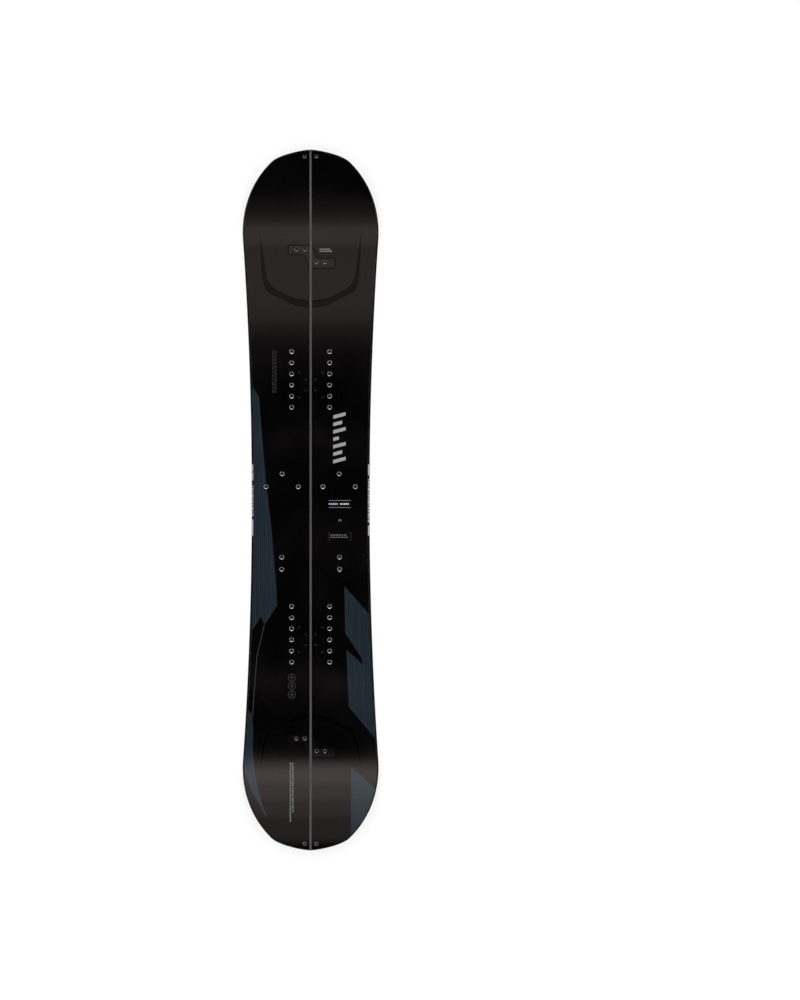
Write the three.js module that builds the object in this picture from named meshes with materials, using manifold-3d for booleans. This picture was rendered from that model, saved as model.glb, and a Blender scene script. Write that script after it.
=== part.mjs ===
// Splitboard: a snowboard cut lengthwise into two halves that come apart as a pair of touring skis.
// Millimetres. X across the board, Y along it with the nose at +Y, Z up through the topsheet.
// The origin is on the seam, at mid length, on the plane that the base rests on.
import * as THREE from 'three';
import { ParametricGeometry } from 'three/addons/geometries/ParametricGeometry.js';
import { mergeVertices } from 'three/addons/utils/BufferGeometryUtils.js';
import Module from 'manifold-3d';

/* ---------- driving dimensions ---------- */

// Plan outline, the same at the nose and the tail.
const HALF_LENGTH = 785;
const HALF_WAIST = 132.25;
const SIDECUT_RADIUS = 8700;
const SHOULDER_Y = 585; // the sidecut arc ends here
const SHOULDER_HANDLE = 34;
const CORNER = new THREE.Vector2(87, 758.4); // where the side turns into the blunt tip
const CORNER_ANGLE = THREE.MathUtils.degToRad(43.5);
const CORNER_HANDLE_SIDE = 89;
const CORNER_HANDLE_TIP = 23;
const TIP_HANDLE = 16;
const SIDECUT_STEPS = 7;
const SHOULDER_STEPS = 7;
const TIP_STEPS = 6;

// Side profile: flat under both binding packs, arched between them, kicked up at both ends.
const CAMBER = 3;
const ARCH_TAIL = -228;
const APEX_TAIL = 20;
const APEX_NOSE = 70;
const ARCH_NOSE = 200;
const KICK_START = 380; // the core starts to taper here too
const TIP_LIFT = 48;
const KICK_POWER = 2.8;
const BEYOND_TIP = 790;
const TAPER_END = 700;
const SPACER_START = 660; // the wood core ends here and the tip spacers begin
const ARCH_STATIONS = [ARCH_TAIL, -195, -165, -115, -30, APEX_TAIL, APEX_NOSE, 102, 168, ARCH_NOSE];
const KICK_STATIONS = [KICK_START, 430, 475, 515, 580, 620, SPACER_START, TAPER_END, 750, BEYOND_TIP];

// Layers, from the base up.
const BOND = 0.1; // glue line between layers, and the line between parts set side by side
const BASE = 1.3;
const LAMINATE = 0.6;
const CORE_MIDDLE = 6.1;
const CORE_TIP = 1.6;
const TOPSHEET = 0.6;
const EDGE_HEIGHT = BASE + BOND + LAMINATE;
const CORE_FLOOR = EDGE_HEIGHT + BOND;
const TOP_STACK = BOND + LAMINATE + BOND + TOPSHEET;

// Widths across the board.
const SEAM = 0.2; // half of the gap between the two halves
const EDGE_WIDTH = 2.2;
const INNER_SIDEWALL = 5;
const SIDEWALL_INSET = 0.8;
const SIDEWALL_WIDTH = 9.2;
const BEVEL = 0.55; // how far the outer sidewall leans in for each millimetre of height
const RING_MARGIN = 3; // the sidewall ring is made this much too tall, then cut to its layer
const PART_GAP = 0.3;

// Threaded inserts: radii, and the thickness of the flange under the core.
const M6 = { barrel: 5.3, flange: 8, bore: 3, flangeThickness: 1.2 };
const M5 = { barrel: 4.3, flange: 6.5, bore: 2.5, flangeThickness: 0.8 };
const INSERT_SIDES = 8;
const HIDDEN_SIDES = 6;
const INSERT_CLEARANCE = 0.25;
const INSERT_SINK = 0.1; // the insert's rim lies this far under the topsheet's face
const INSERT_FLOOR = 0.5; // metal left under the threaded bore
const STRIP_END = 8; // a binding strip runs this far past its end rows, and is twice as wide

// Where the inserts are, for one half with X measured away from the seam.
const PACK_X = 42.7;
const PACK_PITCH = 25;
const PACK_ROWS = 6;
const NOSE_PACK_Y = 270.6;
const TAIL_PACK_Y = -301.4;
const TOURING_INSERTS = [
  { name: 'touring_insert_front', x: 64, y: 58.6 },
  { name: 'touring_insert_rear_inner', x: 27.7, y: 29.9 },
  { name: 'touring_insert_rear_outer', x: 100.3, y: 29.9 },
  { name: 'heel_riser_insert_front', x: 65, y: -128.4 },
  { name: 'heel_riser_insert_rear', x: 65, y: -155.6 },
];
const HOOK_X = { inner: 13.2, outer: 32.2 };
const HOOK_SHIFT = -1098; // from the nose hooks to the tail hooks
const HOOK_Y = { left: 562.7, right: 534.1 };
const TIP_CLIP = { x: 13.2, y: 770 };

// The shallow pocket in the topsheet that a pair of seam hooks sits in, given for the nose.
const POCKET_DEPTH = 0.25;
const POCKET_CORNER = 5;
const POCKET = [
  [-50.8, 572.1], [5, 572.1], [14, 543.5], [55.4, 543.5],
  [55.4, 519.9], [-4, 519.9], [-14, 550.8], [-50.8, 550.8],
];

// The coloured die-cut inlay in the tail end of the base, for one half. It runs out past the board's side.
const PAST_SIDE = 170;
const INLAY = [
  [PAST_SIDE, -62.4], [127.4, -62.4], [108.8, -53.6], [73.8, -107], [78.9, -241.1],
  [114.4, -198.9], [114.8, -209.2], [78.9, -280.1], [84.8, -407.2],
  [124.3, -360.3], [124, -369.5], [85.2, -442.7], [94.4, -686.1], [149.2, -601.4], [PAST_SIDE, -601.4],
];

// Blank stock that the layers are cut from.
const STOCK_LOW = -10;
const STOCK_HIGH = 80;
const STOCK_HALF_WIDTH = 200;

/* ---------- solids ---------- */

const wasm = await Module();
wasm.setup();

// The closed solid of a three.js geometry.
function solid(geometry) {
  const bare = geometry.index ? geometry.toNonIndexed() : geometry.clone();
  bare.deleteAttribute('normal');
  bare.deleteAttribute('uv');
  const merged = mergeVertices(bare, 1e-4);
  return new wasm.Manifold(new wasm.Mesh({
    numProp: 3,
    vertProperties: merged.attributes.position.array,
    triVerts: new Uint32Array(merged.index.array),
  }));
}

function geometryOf(piece) {
  const mesh = piece.getMesh();
  const geometry = new THREE.BufferGeometry();
  geometry.setAttribute('position', new THREE.BufferAttribute(mesh.vertProperties, 3));
  geometry.setIndex(new THREE.BufferAttribute(mesh.triVerts, 1));
  geometry.computeVertexNormals();
  return geometry;
}

function box(low, high) {
  const size = high.map((value, axis) => value - low[axis]);
  const middle = high.map((value, axis) => (value + low[axis]) / 2);
  return solid(new THREE.BoxGeometry(...size).translate(...middle));
}

/* ---------- plan outline ---------- */

// One quarter of the outline, from the waist to the tip, as points with their outward normals.
function quarterOutline() {
  const turn = Math.asin(SHOULDER_Y / SIDECUT_RADIUS);
  const centreX = HALF_WAIST + SIDECUT_RADIUS;
  const sidecut = new THREE.EllipseCurve(
    centreX, 0, SIDECUT_RADIUS, SIDECUT_RADIUS, Math.PI, Math.PI - turn, true);
  const shoulder = sidecut.getPoint(1);
  const across = new THREE.Vector2(-Math.cos(CORNER_ANGLE), Math.sin(CORNER_ANGLE));
  const upperSide = new THREE.CubicBezierCurve(
    shoulder,
    shoulder.clone().addScaledVector(sidecut.getTangent(1), SHOULDER_HANDLE),
    CORNER.clone().addScaledVector(across, -CORNER_HANDLE_SIDE),
    CORNER);
  const tip = new THREE.CubicBezierCurve(
    CORNER,
    CORNER.clone().addScaledVector(across, CORNER_HANDLE_TIP),
    new THREE.Vector2(TIP_HANDLE, HALF_LENGTH),
    new THREE.Vector2(0, HALF_LENGTH));
  const points = [];
  for (const [curve, steps] of [[sidecut, SIDECUT_STEPS], [upperSide, SHOULDER_STEPS], [tip, TIP_STEPS]]) {
    for (let step = 0; step < steps; step++) {
      const tangent = curve.getTangent(step / steps);
      points.push({ point: curve.getPoint(step / steps), normal: new THREE.Vector2(tangent.y, -tangent.x) });
    }
  }
  points.push({ point: tip.getPoint(1), normal: new THREE.Vector2(0, 1) });
  return points;
}

function flipped({ point, normal }, signX, signY) {
  const sign = new THREE.Vector2(signX, signY);
  return { point: point.clone().multiply(sign), normal: normal.clone().multiply(sign) };
}

// The whole outline, anticlockwise from the tail tip.
function wholeOutline() {
  const quarter = quarterOutline();
  const lower = quarter.slice(1).reverse().map((sample) => flipped(sample, 1, -1));
  const right = [...lower, ...quarter];
  const left = right.slice(1, -1).reverse().map((sample) => flipped(sample, -1, 1));
  return [...right, ...left];
}

const OUTLINE = wholeOutline();

// A tall plate whose wall stands insetAt(y) inside the outline.
function plate(insetAt) {
  const points = OUTLINE.map(({ point, normal }) => point.clone().addScaledVector(normal, -insetAt(point.y)));
  return prism(new THREE.Shape(points));
}

function prism(shape) {
  const depth = STOCK_HIGH - STOCK_LOW;
  const geometry = new THREE.ExtrudeGeometry(shape, { depth, bevelEnabled: false, curveSegments: 2 });
  return solid(geometry.translate(0, 0, STOCK_LOW));
}

/* ---------- side profile ---------- */

const STATIONS = [
  ...KICK_STATIONS.map((y) => -y).reverse(), ...ARCH_STATIONS, ...KICK_STATIONS];

function ease(share) {
  return (1 - Math.cos(Math.PI * THREE.MathUtils.clamp(share, 0, 1))) / 2;
}

// Height of the base's underside over the ground.
function rocker(y) {
  const kick = Math.max(0, Math.abs(y) - KICK_START) / (HALF_LENGTH - KICK_START);
  const tailRise = ease((y - ARCH_TAIL) / (APEX_TAIL - ARCH_TAIL));
  const noseRise = ease((ARCH_NOSE - y) / (ARCH_NOSE - APEX_NOSE));
  return TIP_LIFT * kick ** KICK_POWER + CAMBER * Math.min(tailRise, noseRise);
}

function coreThickness(y) {
  const taper = THREE.MathUtils.clamp((Math.abs(y) - KICK_START) / (TAPER_END - KICK_START), 0, 1);
  return THREE.MathUtils.lerp(CORE_MIDDLE, CORE_TIP, taper);
}

const coreTop = (y) => CORE_FLOOR + coreThickness(y);
const topFace = (y) => coreTop(y) + TOP_STACK;

// A full-width layer between two heights over the base's underside, straight between stations.
function layer(lowAt, highAt) {
  const under = STATIONS.map((y) => new THREE.Vector2(y, rocker(y) + lowAt(y)));
  const over = STATIONS.map((y) => new THREE.Vector2(y, rocker(y) + highAt(y))).reverse();
  const profile = new THREE.Shape([...under, ...over]);
  const geometry = new THREE.ExtrudeGeometry(profile, { depth: 2 * STOCK_HALF_WIDTH, bevelEnabled: false });
  const alongBoard = new THREE.Matrix4().makeBasis(
    new THREE.Vector3(0, 1, 0), new THREE.Vector3(0, 0, 1), new THREE.Vector3(1, 0, 0));
  return solid(geometry.applyMatrix4(alongBoard).translate(-STOCK_HALF_WIDTH, 0, 0));
}

// Height and slope of the topsheet's face at y.
function faceAt(y) {
  const next = STATIONS.findIndex((station) => station > y);
  const [y0, y1] = [STATIONS[next - 1], STATIONS[next]];
  const z0 = rocker(y0) + topFace(y0);
  const slope = (rocker(y1) + topFace(y1) - z0) / (y1 - y0);
  return { z: z0 + slope * (y - y0), slope };
}

/* ---------- cutting stock for one half ---------- */

// Everything on one side, from a distance off the seam outwards.
function half(side, fromSeam) {
  const near = side * fromSeam;
  const far = side * STOCK_HALF_WIDTH;
  return box(
    [Math.min(near, far), -BEYOND_TIP, STOCK_LOW],
    [Math.max(near, far), BEYOND_TIP, STOCK_HIGH]);
}

// Everything between two places along the board.
function stretch(fromY, toY) {
  return box([-STOCK_HALF_WIDTH, fromY, STOCK_LOW], [STOCK_HALF_WIDTH, toY, STOCK_HIGH]);
}

// The leaning outer wall as a ring around the whole board, too tall at the top and the bottom.
function sidewallRing() {
  const corners = [
    { high: 0, inset: () => SIDEWALL_INSET + SIDEWALL_WIDTH },
    { high: 0, inset: () => SIDEWALL_INSET - BEVEL * RING_MARGIN },
    { high: 1, inset: (y) => SIDEWALL_INSET + BEVEL * (coreThickness(y) + RING_MARGIN) },
    { high: 1, inset: () => SIDEWALL_INSET + SIDEWALL_WIDTH },
  ];
  const place = (u, v, target) => {
    const { point, normal } = OUTLINE[Math.round(u * OUTLINE.length) % OUTLINE.length];
    const corner = corners[Math.round(v * corners.length) % corners.length];
    const inset = corner.inset(point.y);
    const z = corner.high ? coreTop(point.y) + RING_MARGIN : CORE_FLOOR - RING_MARGIN;
    target.set(point.x - normal.x * inset, point.y - normal.y * inset, rocker(point.y) + z);
  };
  return solid(new ParametricGeometry(place, OUTLINE.length, corners.length));
}

/* ---------- inserts ---------- */

// The frame of something set square to the topsheet's face at x, y.
function seat(x, y) {
  const { z, slope } = faceAt(y);
  const frame = new THREE.Object3D();
  frame.position.set(x, y, z);
  frame.rotation.x = Math.atan(slope);
  frame.updateMatrix();
  return frame;
}

// How deep an insert at y reaches under the face.
function insertDepth(y) {
  const { slope } = faceAt(y);
  return (coreThickness(y) + TOP_STACK) * Math.cos(Math.atan(slope)) - BOND;
}

// A turned insert: flange, barrel and blind threaded bore. Its own frame has z = 0 at the topsheet's face.
function insertGeometry(kind, y, flange = kind.flange) {
  const foot = -insertDepth(y);
  const shoulder = foot + kind.flangeThickness;
  const profile = [
    [0, foot], [flange, foot], [flange, shoulder], [kind.barrel, shoulder],
    [kind.barrel, -INSERT_SINK], [kind.bore, -INSERT_SINK],
    [kind.bore, foot + INSERT_FLOOR], [0, foot + INSERT_FLOOR],
  ];
  const points = profile.map(([radius, z]) => new THREE.Vector2(radius, z));
  return new THREE.LatheGeometry(points, INSERT_SIDES).rotateX(Math.PI / 2);
}

// A many-sided cutter that clears a round part of the given radius, between two depths under the face.
function roundCutter(radius, low, high, sides, frame) {
  const clear = radius + INSERT_CLEARANCE;
  const outermost = sides === INSERT_SIDES ? clear : clear / Math.cos(Math.PI / sides);
  const cutter = new THREE.CylinderGeometry(outermost, outermost, high - low, sides).rotateX(Math.PI / 2);
  return solid(cutter.translate(0, 0, (low + high) / 2).applyMatrix4(frame.matrix));
}

function packRows(packY) {
  const first = packY - PACK_PITCH * (PACK_ROWS - 1) / 2;
  return Array.from({ length: PACK_ROWS }, (_, row) => first + row * PACK_PITCH);
}

const PACKS = [
  { name: 'binding_insert_strip_nose', y: NOSE_PACK_Y },
  { name: 'binding_insert_strip_tail', y: TAIL_PACK_Y },
];

// The seats of one half's two columns of barrels.
function packSeats(side) {
  const rows = PACKS.flatMap((pack) => packRows(pack.y));
  return rows.map((y) => ({ x: side * PACK_X, y, kind: M6 }));
}

// The single inserts of one half, with X signed.
function singleInserts(side) {
  const hand = side > 0 ? 'right' : 'left';
  const place = (name, x, y, kind) => ({ name: `${name}_${hand}`, x: side * x, y, kind });
  const inserts = TOURING_INSERTS.map(({ name, x, y }) => place(name, x, y, M6));
  for (const [end, shift] of [['nose', 0], ['tail', HOOK_SHIFT]]) {
    for (const [row, x] of Object.entries(HOOK_X)) {
      inserts.push(place(`hook_insert_${end}_${row}`, x, HOOK_Y[hand] + shift, M5));
    }
  }
  for (const [end, sign] of [['nose', 1], ['tail', -1]]) {
    inserts.push(place(`tip_clip_insert_${end}`, TIP_CLIP.x, sign * TIP_CLIP.y, M5));
  }
  return inserts;
}

// The holes that the insert barrels need through every layer from a depth upwards.
function barrelHoles(side, depth, sides) {
  const holes = [...packSeats(side), ...singleInserts(side)].map(({ x, y, kind }) =>
    roundCutter(kind.barrel, -depth, 1, sides, seat(x, y)));
  return wasm.Manifold.union(holes);
}

// The pockets in the core's underside for the flanges and the strips.
function flangePockets(side) {
  const under = CORE_MIDDLE + CORE_FLOOR;
  const pockets = singleInserts(side).map(({ x, y, kind }) => {
    const top = kind.flangeThickness + INSERT_CLEARANCE - insertDepth(y);
    return roundCutter(kind.flange, -under, top, HIDDEN_SIDES, seat(x, y));
  });
  const grooves = PACKS.map((pack) => insertStrip(side, pack, INSERT_CLEARANCE));
  return wasm.Manifold.union([...pockets, ...grooves]);
}

// The flat strip that carries one pack's column of barrels.
// With a clearance it is the cutter for its own groove.
function insertStrip(side, pack, clearance) {
  const rows = packRows(pack.y);
  const foot = faceAt(pack.y).z - insertDepth(pack.y);
  const reach = STRIP_END + clearance;
  return box(
    [side * PACK_X - reach, rows[0] - reach, foot - clearance],
    [side * PACK_X + reach, rows[rows.length - 1] + reach, foot + M6.flangeThickness + clearance]);
}

/* ---------- base inlay and hook pockets ---------- */

// A polygon with every edge moved outwards. Corners stay sharp.
function grown(points, distance) {
  const count = points.length;
  const edges = points.map((from, index) => {
    const along = points[(index + 1) % count].clone().sub(from).normalize();
    const outwards = new THREE.Vector2(along.y, -along.x);
    return { from: from.clone().addScaledVector(outwards, distance), along };
  });
  return edges.map((edge, index) => {
    const previous = edges[(index + count - 1) % count];
    const apart = edge.from.clone().sub(previous.from);
    const step = apart.cross(edge.along) / previous.along.cross(edge.along);
    return previous.from.clone().addScaledVector(previous.along, step);
  });
}

function inlayPrism(side, distance) {
  const points = INLAY.map(([x, y]) => new THREE.Vector2(x, y));
  const anticlockwise = THREE.ShapeUtils.isClockWise(points) ? points.reverse() : points;
  const shape = grown(anticlockwise, distance).map((point) => new THREE.Vector2(side * point.x, point.y));
  return prism(new THREE.Shape(shape));
}

// A closed shape through the corner points, each corner rounded.
function roundedShape(corners, radius) {
  const shape = new THREE.Shape();
  corners.forEach((corner, index) => {
    const before = corners[(index + corners.length - 1) % corners.length];
    const after = corners[(index + 1) % corners.length];
    const start = corner.clone().addScaledVector(before.clone().sub(corner).normalize(), radius);
    const end = corner.clone().addScaledVector(after.clone().sub(corner).normalize(), radius);
    if (index === 0) {
      shape.moveTo(start.x, start.y);
    } else {
      shape.lineTo(start.x, start.y);
    }
    shape.quadraticCurveTo(corner.x, corner.y, end.x, end.y);
  });
  return shape;
}

function hookPockets() {
  const outlines = [0, HOOK_SHIFT].map((shift) => {
    const corners = POCKET.map(([x, y]) => new THREE.Vector2(x, y + shift));
    return prism(roundedShape(corners, POCKET_CORNER));
  });
  const cut = layer((y) => topFace(y) - POCKET_DEPTH, (y) => topFace(y) + 1);
  return wasm.Manifold.union(outlines).intersect(cut);
}

/* ---------- materials ---------- */

function finish(color, roughness, metalness = 0) {
  return new THREE.MeshStandardMaterial({ color, roughness, metalness });
}

const MATERIALS = {
  base: finish(0x0b0a0b, 0.35),
  inlay: finish(0xe3202f, 0.35),
  edge: finish(0xb4b5b6, 0.3, 1),
  laminate: finish(0x8d937c, 0.5),
  wood: finish(0xc9a775, 0.7),
  topsheet: finish(0x0c0a0a, 0.4),
  sidewall: finish(0x101011, 0.45),
  innerSidewall: finish(0x585453, 0.5),
  spacer: finish(0x141416, 0.45),
  insert: finish(0xaeb0b2, 0.35, 1),
};

/* ---------- the board ---------- */

const board = new THREE.Group();

function add(name, piece, material) {
  const mesh = new THREE.Mesh(geometryOf(piece), material);
  mesh.name = name;
  board.add(mesh);
}

const flat = (value) => () => value;
const edgeInset = EDGE_WIDTH + BOND;
const topInset = (y) => SIDEWALL_INSET + BEVEL * (coreThickness(y) + TOP_STACK);
const laminateInset = (y) => topInset(y) - BEVEL * (BOND + TOPSHEET);
const sidewall = sidewallRing();
const wholePlate = plate(flat(0));
const edgePlate = plate(flat(EDGE_WIDTH));
const insidePlate = plate(flat(edgeInset));
const corePlate = plate(flat(SIDEWALL_INSET + SIDEWALL_WIDTH + PART_GAP));
const spacerPlate = plate(flat(SIDEWALL_INSET + SIDEWALL_WIDTH - 1));
const laminatePlate = plate(laminateInset);
const topsheetPlate = plate(topInset);
const edgeLayer = layer(flat(0), flat(EDGE_HEIGHT));
const baseLayer = layer(flat(0), flat(BASE));
const lowerLayer = layer(flat(BASE + BOND), flat(EDGE_HEIGHT));
const coreLayer = layer(flat(CORE_FLOOR), coreTop);
const upperLayer = layer((y) => coreTop(y) + BOND, (y) => coreTop(y) + BOND + LAMINATE);
const topsheetLayer = layer((y) => topFace(y) - TOPSHEET, topFace);
const pockets = hookPockets();

function addBottom(side, hand) {
  const insideEdges = half(side, SEAM + EDGE_WIDTH + BOND);
  const innerStrip = half(side, SEAM).subtract(half(side, SEAM + EDGE_WIDTH));
  const bottom = insidePlate.intersect(insideEdges);
  add(`base_sheet_${hand}`, bottom.intersect(baseLayer).subtract(inlayPrism(side, BOND)), MATERIALS.base);
  add(`base_inlay_${hand}`, bottom.intersect(baseLayer).intersect(inlayPrism(side, 0)), MATERIALS.inlay);
  add(`edge_outer_${hand}`,
    wholePlate.subtract(edgePlate).intersect(edgeLayer).intersect(half(side, SEAM)), MATERIALS.edge);
  add(`edge_inner_${hand}`, insidePlate.intersect(edgeLayer).intersect(innerStrip), MATERIALS.edge);
  add(`lower_laminate_${hand}`, bottom.intersect(lowerLayer), MATERIALS.laminate);
}

function addCore(side, hand) {
  const holes = barrelHoles(side, CORE_MIDDLE + CORE_FLOOR, HIDDEN_SIDES).add(flangePockets(side));
  const insideSeam = half(side, SEAM + INNER_SIDEWALL + PART_GAP);
  const seamStrip = half(side, SEAM).subtract(half(side, SEAM + INNER_SIDEWALL));
  const middle = stretch(-SPACER_START, SPACER_START);
  const wood = corePlate.intersect(coreLayer).intersect(insideSeam).intersect(middle);
  add(`wood_core_${hand}`, wood.subtract(holes), MATERIALS.wood);
  add(`sidewall_outer_${hand}`,
    sidewall.intersect(coreLayer).intersect(half(side, SEAM)).intersect(middle), MATERIALS.sidewall);
  add(`sidewall_inner_${hand}`,
    insidePlate.intersect(coreLayer).intersect(seamStrip), MATERIALS.innerSidewall);
  const tipStock = sidewall.add(spacerPlate).intersect(coreLayer).intersect(insideSeam).subtract(holes);
  const spacerEdge = SPACER_START + PART_GAP;
  add(`nose_spacer_${hand}`, tipStock.intersect(stretch(spacerEdge, BEYOND_TIP)), MATERIALS.spacer);
  add(`tail_spacer_${hand}`, tipStock.intersect(stretch(-BEYOND_TIP, -spacerEdge)), MATERIALS.spacer);
}

function addTop(side, hand) {
  const insideSeam = half(side, SEAM + EDGE_WIDTH);
  const laminate = laminatePlate.intersect(upperLayer).intersect(insideSeam);
  const laminateHoles = barrelHoles(side, TOP_STACK + 1, HIDDEN_SIDES);
  add(`upper_laminate_${hand}`, laminate.subtract(laminateHoles), MATERIALS.laminate);
  const sheet = topsheetPlate.intersect(topsheetLayer).intersect(insideSeam);
  const sheetCuts = barrelHoles(side, TOP_STACK, INSERT_SIDES).add(pockets);
  add(`topsheet_${hand}`, sheet.subtract(sheetCuts), MATERIALS.topsheet);
}

function addInserts(side, hand) {
  for (const pack of PACKS) {
    const column = packRows(pack.y).map((y) =>
      solid(insertGeometry(M6, y, M6.barrel).applyMatrix4(seat(side * PACK_X, y).matrix)));
    const strip = insertStrip(side, pack, 0);
    add(`${pack.name}_${hand}`, wasm.Manifold.union([...column, strip]), MATERIALS.insert);
  }
  for (const { name, x, y, kind } of singleInserts(side)) {
    const mesh = new THREE.Mesh(insertGeometry(kind, y), MATERIALS.insert);
    const frame = seat(x, y);
    mesh.name = name;
    mesh.position.copy(frame.position);
    mesh.rotation.copy(frame.rotation);
    board.add(mesh);
  }
}

for (const [side, hand] of [[-1, 'left'], [1, 'right']]) {
  addBottom(side, hand);
  addCore(side, hand);
  addTop(side, hand);
  addInserts(side, hand);
}

export default board;
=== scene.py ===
"""Looks for the splitboard: a fine mesh and a procedural material for each piece, and only a material for
the wood core.

Lengths are millimetres in the frame's own axes until a mesh is made: X across the board, Y towards the nose,
Z up through the topsheet. A shape given for one half has X measured away from the seam."""

import math

import bpy
import numpy as np
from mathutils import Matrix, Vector, geometry


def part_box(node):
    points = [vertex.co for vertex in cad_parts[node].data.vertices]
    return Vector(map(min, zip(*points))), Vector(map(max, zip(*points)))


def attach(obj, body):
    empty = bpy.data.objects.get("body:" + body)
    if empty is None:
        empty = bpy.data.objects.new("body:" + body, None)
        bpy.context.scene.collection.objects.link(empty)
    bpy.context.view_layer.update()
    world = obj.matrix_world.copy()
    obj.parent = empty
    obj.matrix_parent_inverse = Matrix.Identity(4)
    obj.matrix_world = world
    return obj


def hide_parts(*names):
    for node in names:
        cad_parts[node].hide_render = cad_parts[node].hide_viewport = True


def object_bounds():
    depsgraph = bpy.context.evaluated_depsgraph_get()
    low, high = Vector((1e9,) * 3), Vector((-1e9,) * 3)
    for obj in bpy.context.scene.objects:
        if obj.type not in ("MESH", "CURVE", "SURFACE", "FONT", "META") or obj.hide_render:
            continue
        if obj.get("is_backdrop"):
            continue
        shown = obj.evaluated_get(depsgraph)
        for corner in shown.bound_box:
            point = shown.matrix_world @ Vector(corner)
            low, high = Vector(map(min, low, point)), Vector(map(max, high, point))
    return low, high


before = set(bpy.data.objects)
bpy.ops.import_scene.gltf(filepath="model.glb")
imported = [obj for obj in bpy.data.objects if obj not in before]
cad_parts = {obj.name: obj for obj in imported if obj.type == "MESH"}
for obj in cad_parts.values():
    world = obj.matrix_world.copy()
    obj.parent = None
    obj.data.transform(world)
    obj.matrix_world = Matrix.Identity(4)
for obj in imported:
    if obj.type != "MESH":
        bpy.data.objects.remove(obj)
CAD_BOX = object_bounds()
MM = 0.001

# ---------- driving dimensions, the same as the CAD part's ----------

HALF_LENGTH = 785
HALF_WAIST = 132.25
SIDECUT_RADIUS = 8700
SHOULDER_Y = 585
SHOULDER_HANDLE = 34
CORNER = np.array((87, 758.4))
CORNER_ANGLE = math.radians(43.5)
CORNER_HANDLE_SIDE = 89
CORNER_HANDLE_TIP = 23
TIP_HANDLE = 16

CAMBER = 3
ARCH_TAIL, APEX_TAIL, APEX_NOSE, ARCH_NOSE = -228, 20, 70, 200
KICK_START = 380
TIP_LIFT = 48
KICK_POWER = 2.8
TAPER_END = 700
TAPER_BLEND = 0.08  # how far the taper's two corners are rounded, as a share of its length
SPACER_START = 660

BOND = 0.1
BASE = 1.3
LAMINATE = 0.6
CORE_MIDDLE, CORE_TIP = 6.1, 1.6
TOPSHEET = 0.6
EDGE_HEIGHT = BASE + BOND + LAMINATE
CORE_FLOOR = EDGE_HEIGHT + BOND
TOP_STACK = BOND + LAMINATE + BOND + TOPSHEET

SEAM = 0.2
SEAM_FACE = 0.03  # the two halves' faces all but touch, where the CAD keeps a wider gap
EDGE_WIDTH = 2.2
INNER_SIDEWALL = 5
SIDEWALL_INSET = 0.8
SIDEWALL_WIDTH = 9.2
BEVEL = 0.55
PART_GAP = 0.3

M6 = {"thread": "M6", "barrel": 5.3, "flange": 8, "bore": 3, "flange_thickness": 1.2, "pitch": 1}
M5 = {"thread": "M5", "barrel": 4.3, "flange": 6.5, "bore": 2.5, "flange_thickness": 0.8, "pitch": 0.8}
INSERT_CLEARANCE = 0.25
INSERT_SINK = 0.1
INSERT_FLOOR = 0.5
STRIP_END = 8
PACK_ROWS = 6

HOOK_SHIFT = -1098  # from the nose hook pocket to the tail one

SIDES = {"left": -1, "right": 1}


# ---------- side profile ----------

def ease(share):
    return (1 - np.cos(np.pi * np.clip(share, 0, 1))) / 2


def soft_ramp(share, blend):
    """Rises from 0 to 1 as share does, level outside, with both corners rounded."""
    def rise(value):
        corner = (value + blend) ** 2 / (4 * blend)
        return np.where(value < -blend, 0, np.where(value > blend, value, corner))
    return rise(share) - rise(share - 1)


def rocker(y):
    """Height of the base's underside over the ground."""
    kick = np.maximum(0, np.abs(y) - KICK_START) / (HALF_LENGTH - KICK_START)
    tail_rise = ease((y - ARCH_TAIL) / (APEX_TAIL - ARCH_TAIL))
    nose_rise = ease((ARCH_NOSE - y) / (ARCH_NOSE - APEX_NOSE))
    return TIP_LIFT * kick ** KICK_POWER + CAMBER * np.minimum(tail_rise, nose_rise)


def core_thickness(y):
    share = (np.abs(y) - KICK_START) / (TAPER_END - KICK_START)
    return CORE_MIDDLE + (CORE_TIP - CORE_MIDDLE) * soft_ramp(share, TAPER_BLEND)


def core_top(y):
    return CORE_FLOOR + core_thickness(y)


def top_face(y):
    return core_top(y) + TOP_STACK


def over_base(height_at):
    """A height over the base's underside as a height over the ground."""
    return lambda y: rocker(y) + height_at(y)


def level(value):
    return lambda y: value + 0 * y


def slope_of(height_at, y):
    step = 0.5
    return (height_at(y + step) - height_at(y - step)) / (2 * step)


def top_inset(y):
    return SIDEWALL_INSET + BEVEL * (core_thickness(y) + TOP_STACK)


# ---------- plan outline ----------

def bezier(corners, count):
    a, b, c, d = (np.asarray(corner, float) for corner in corners)
    t = np.linspace(0, 1, count)[:, None]
    return (1 - t) ** 3 * a + 3 * (1 - t) ** 2 * t * b + 3 * (1 - t) * t ** 2 * c + t ** 3 * d


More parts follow.
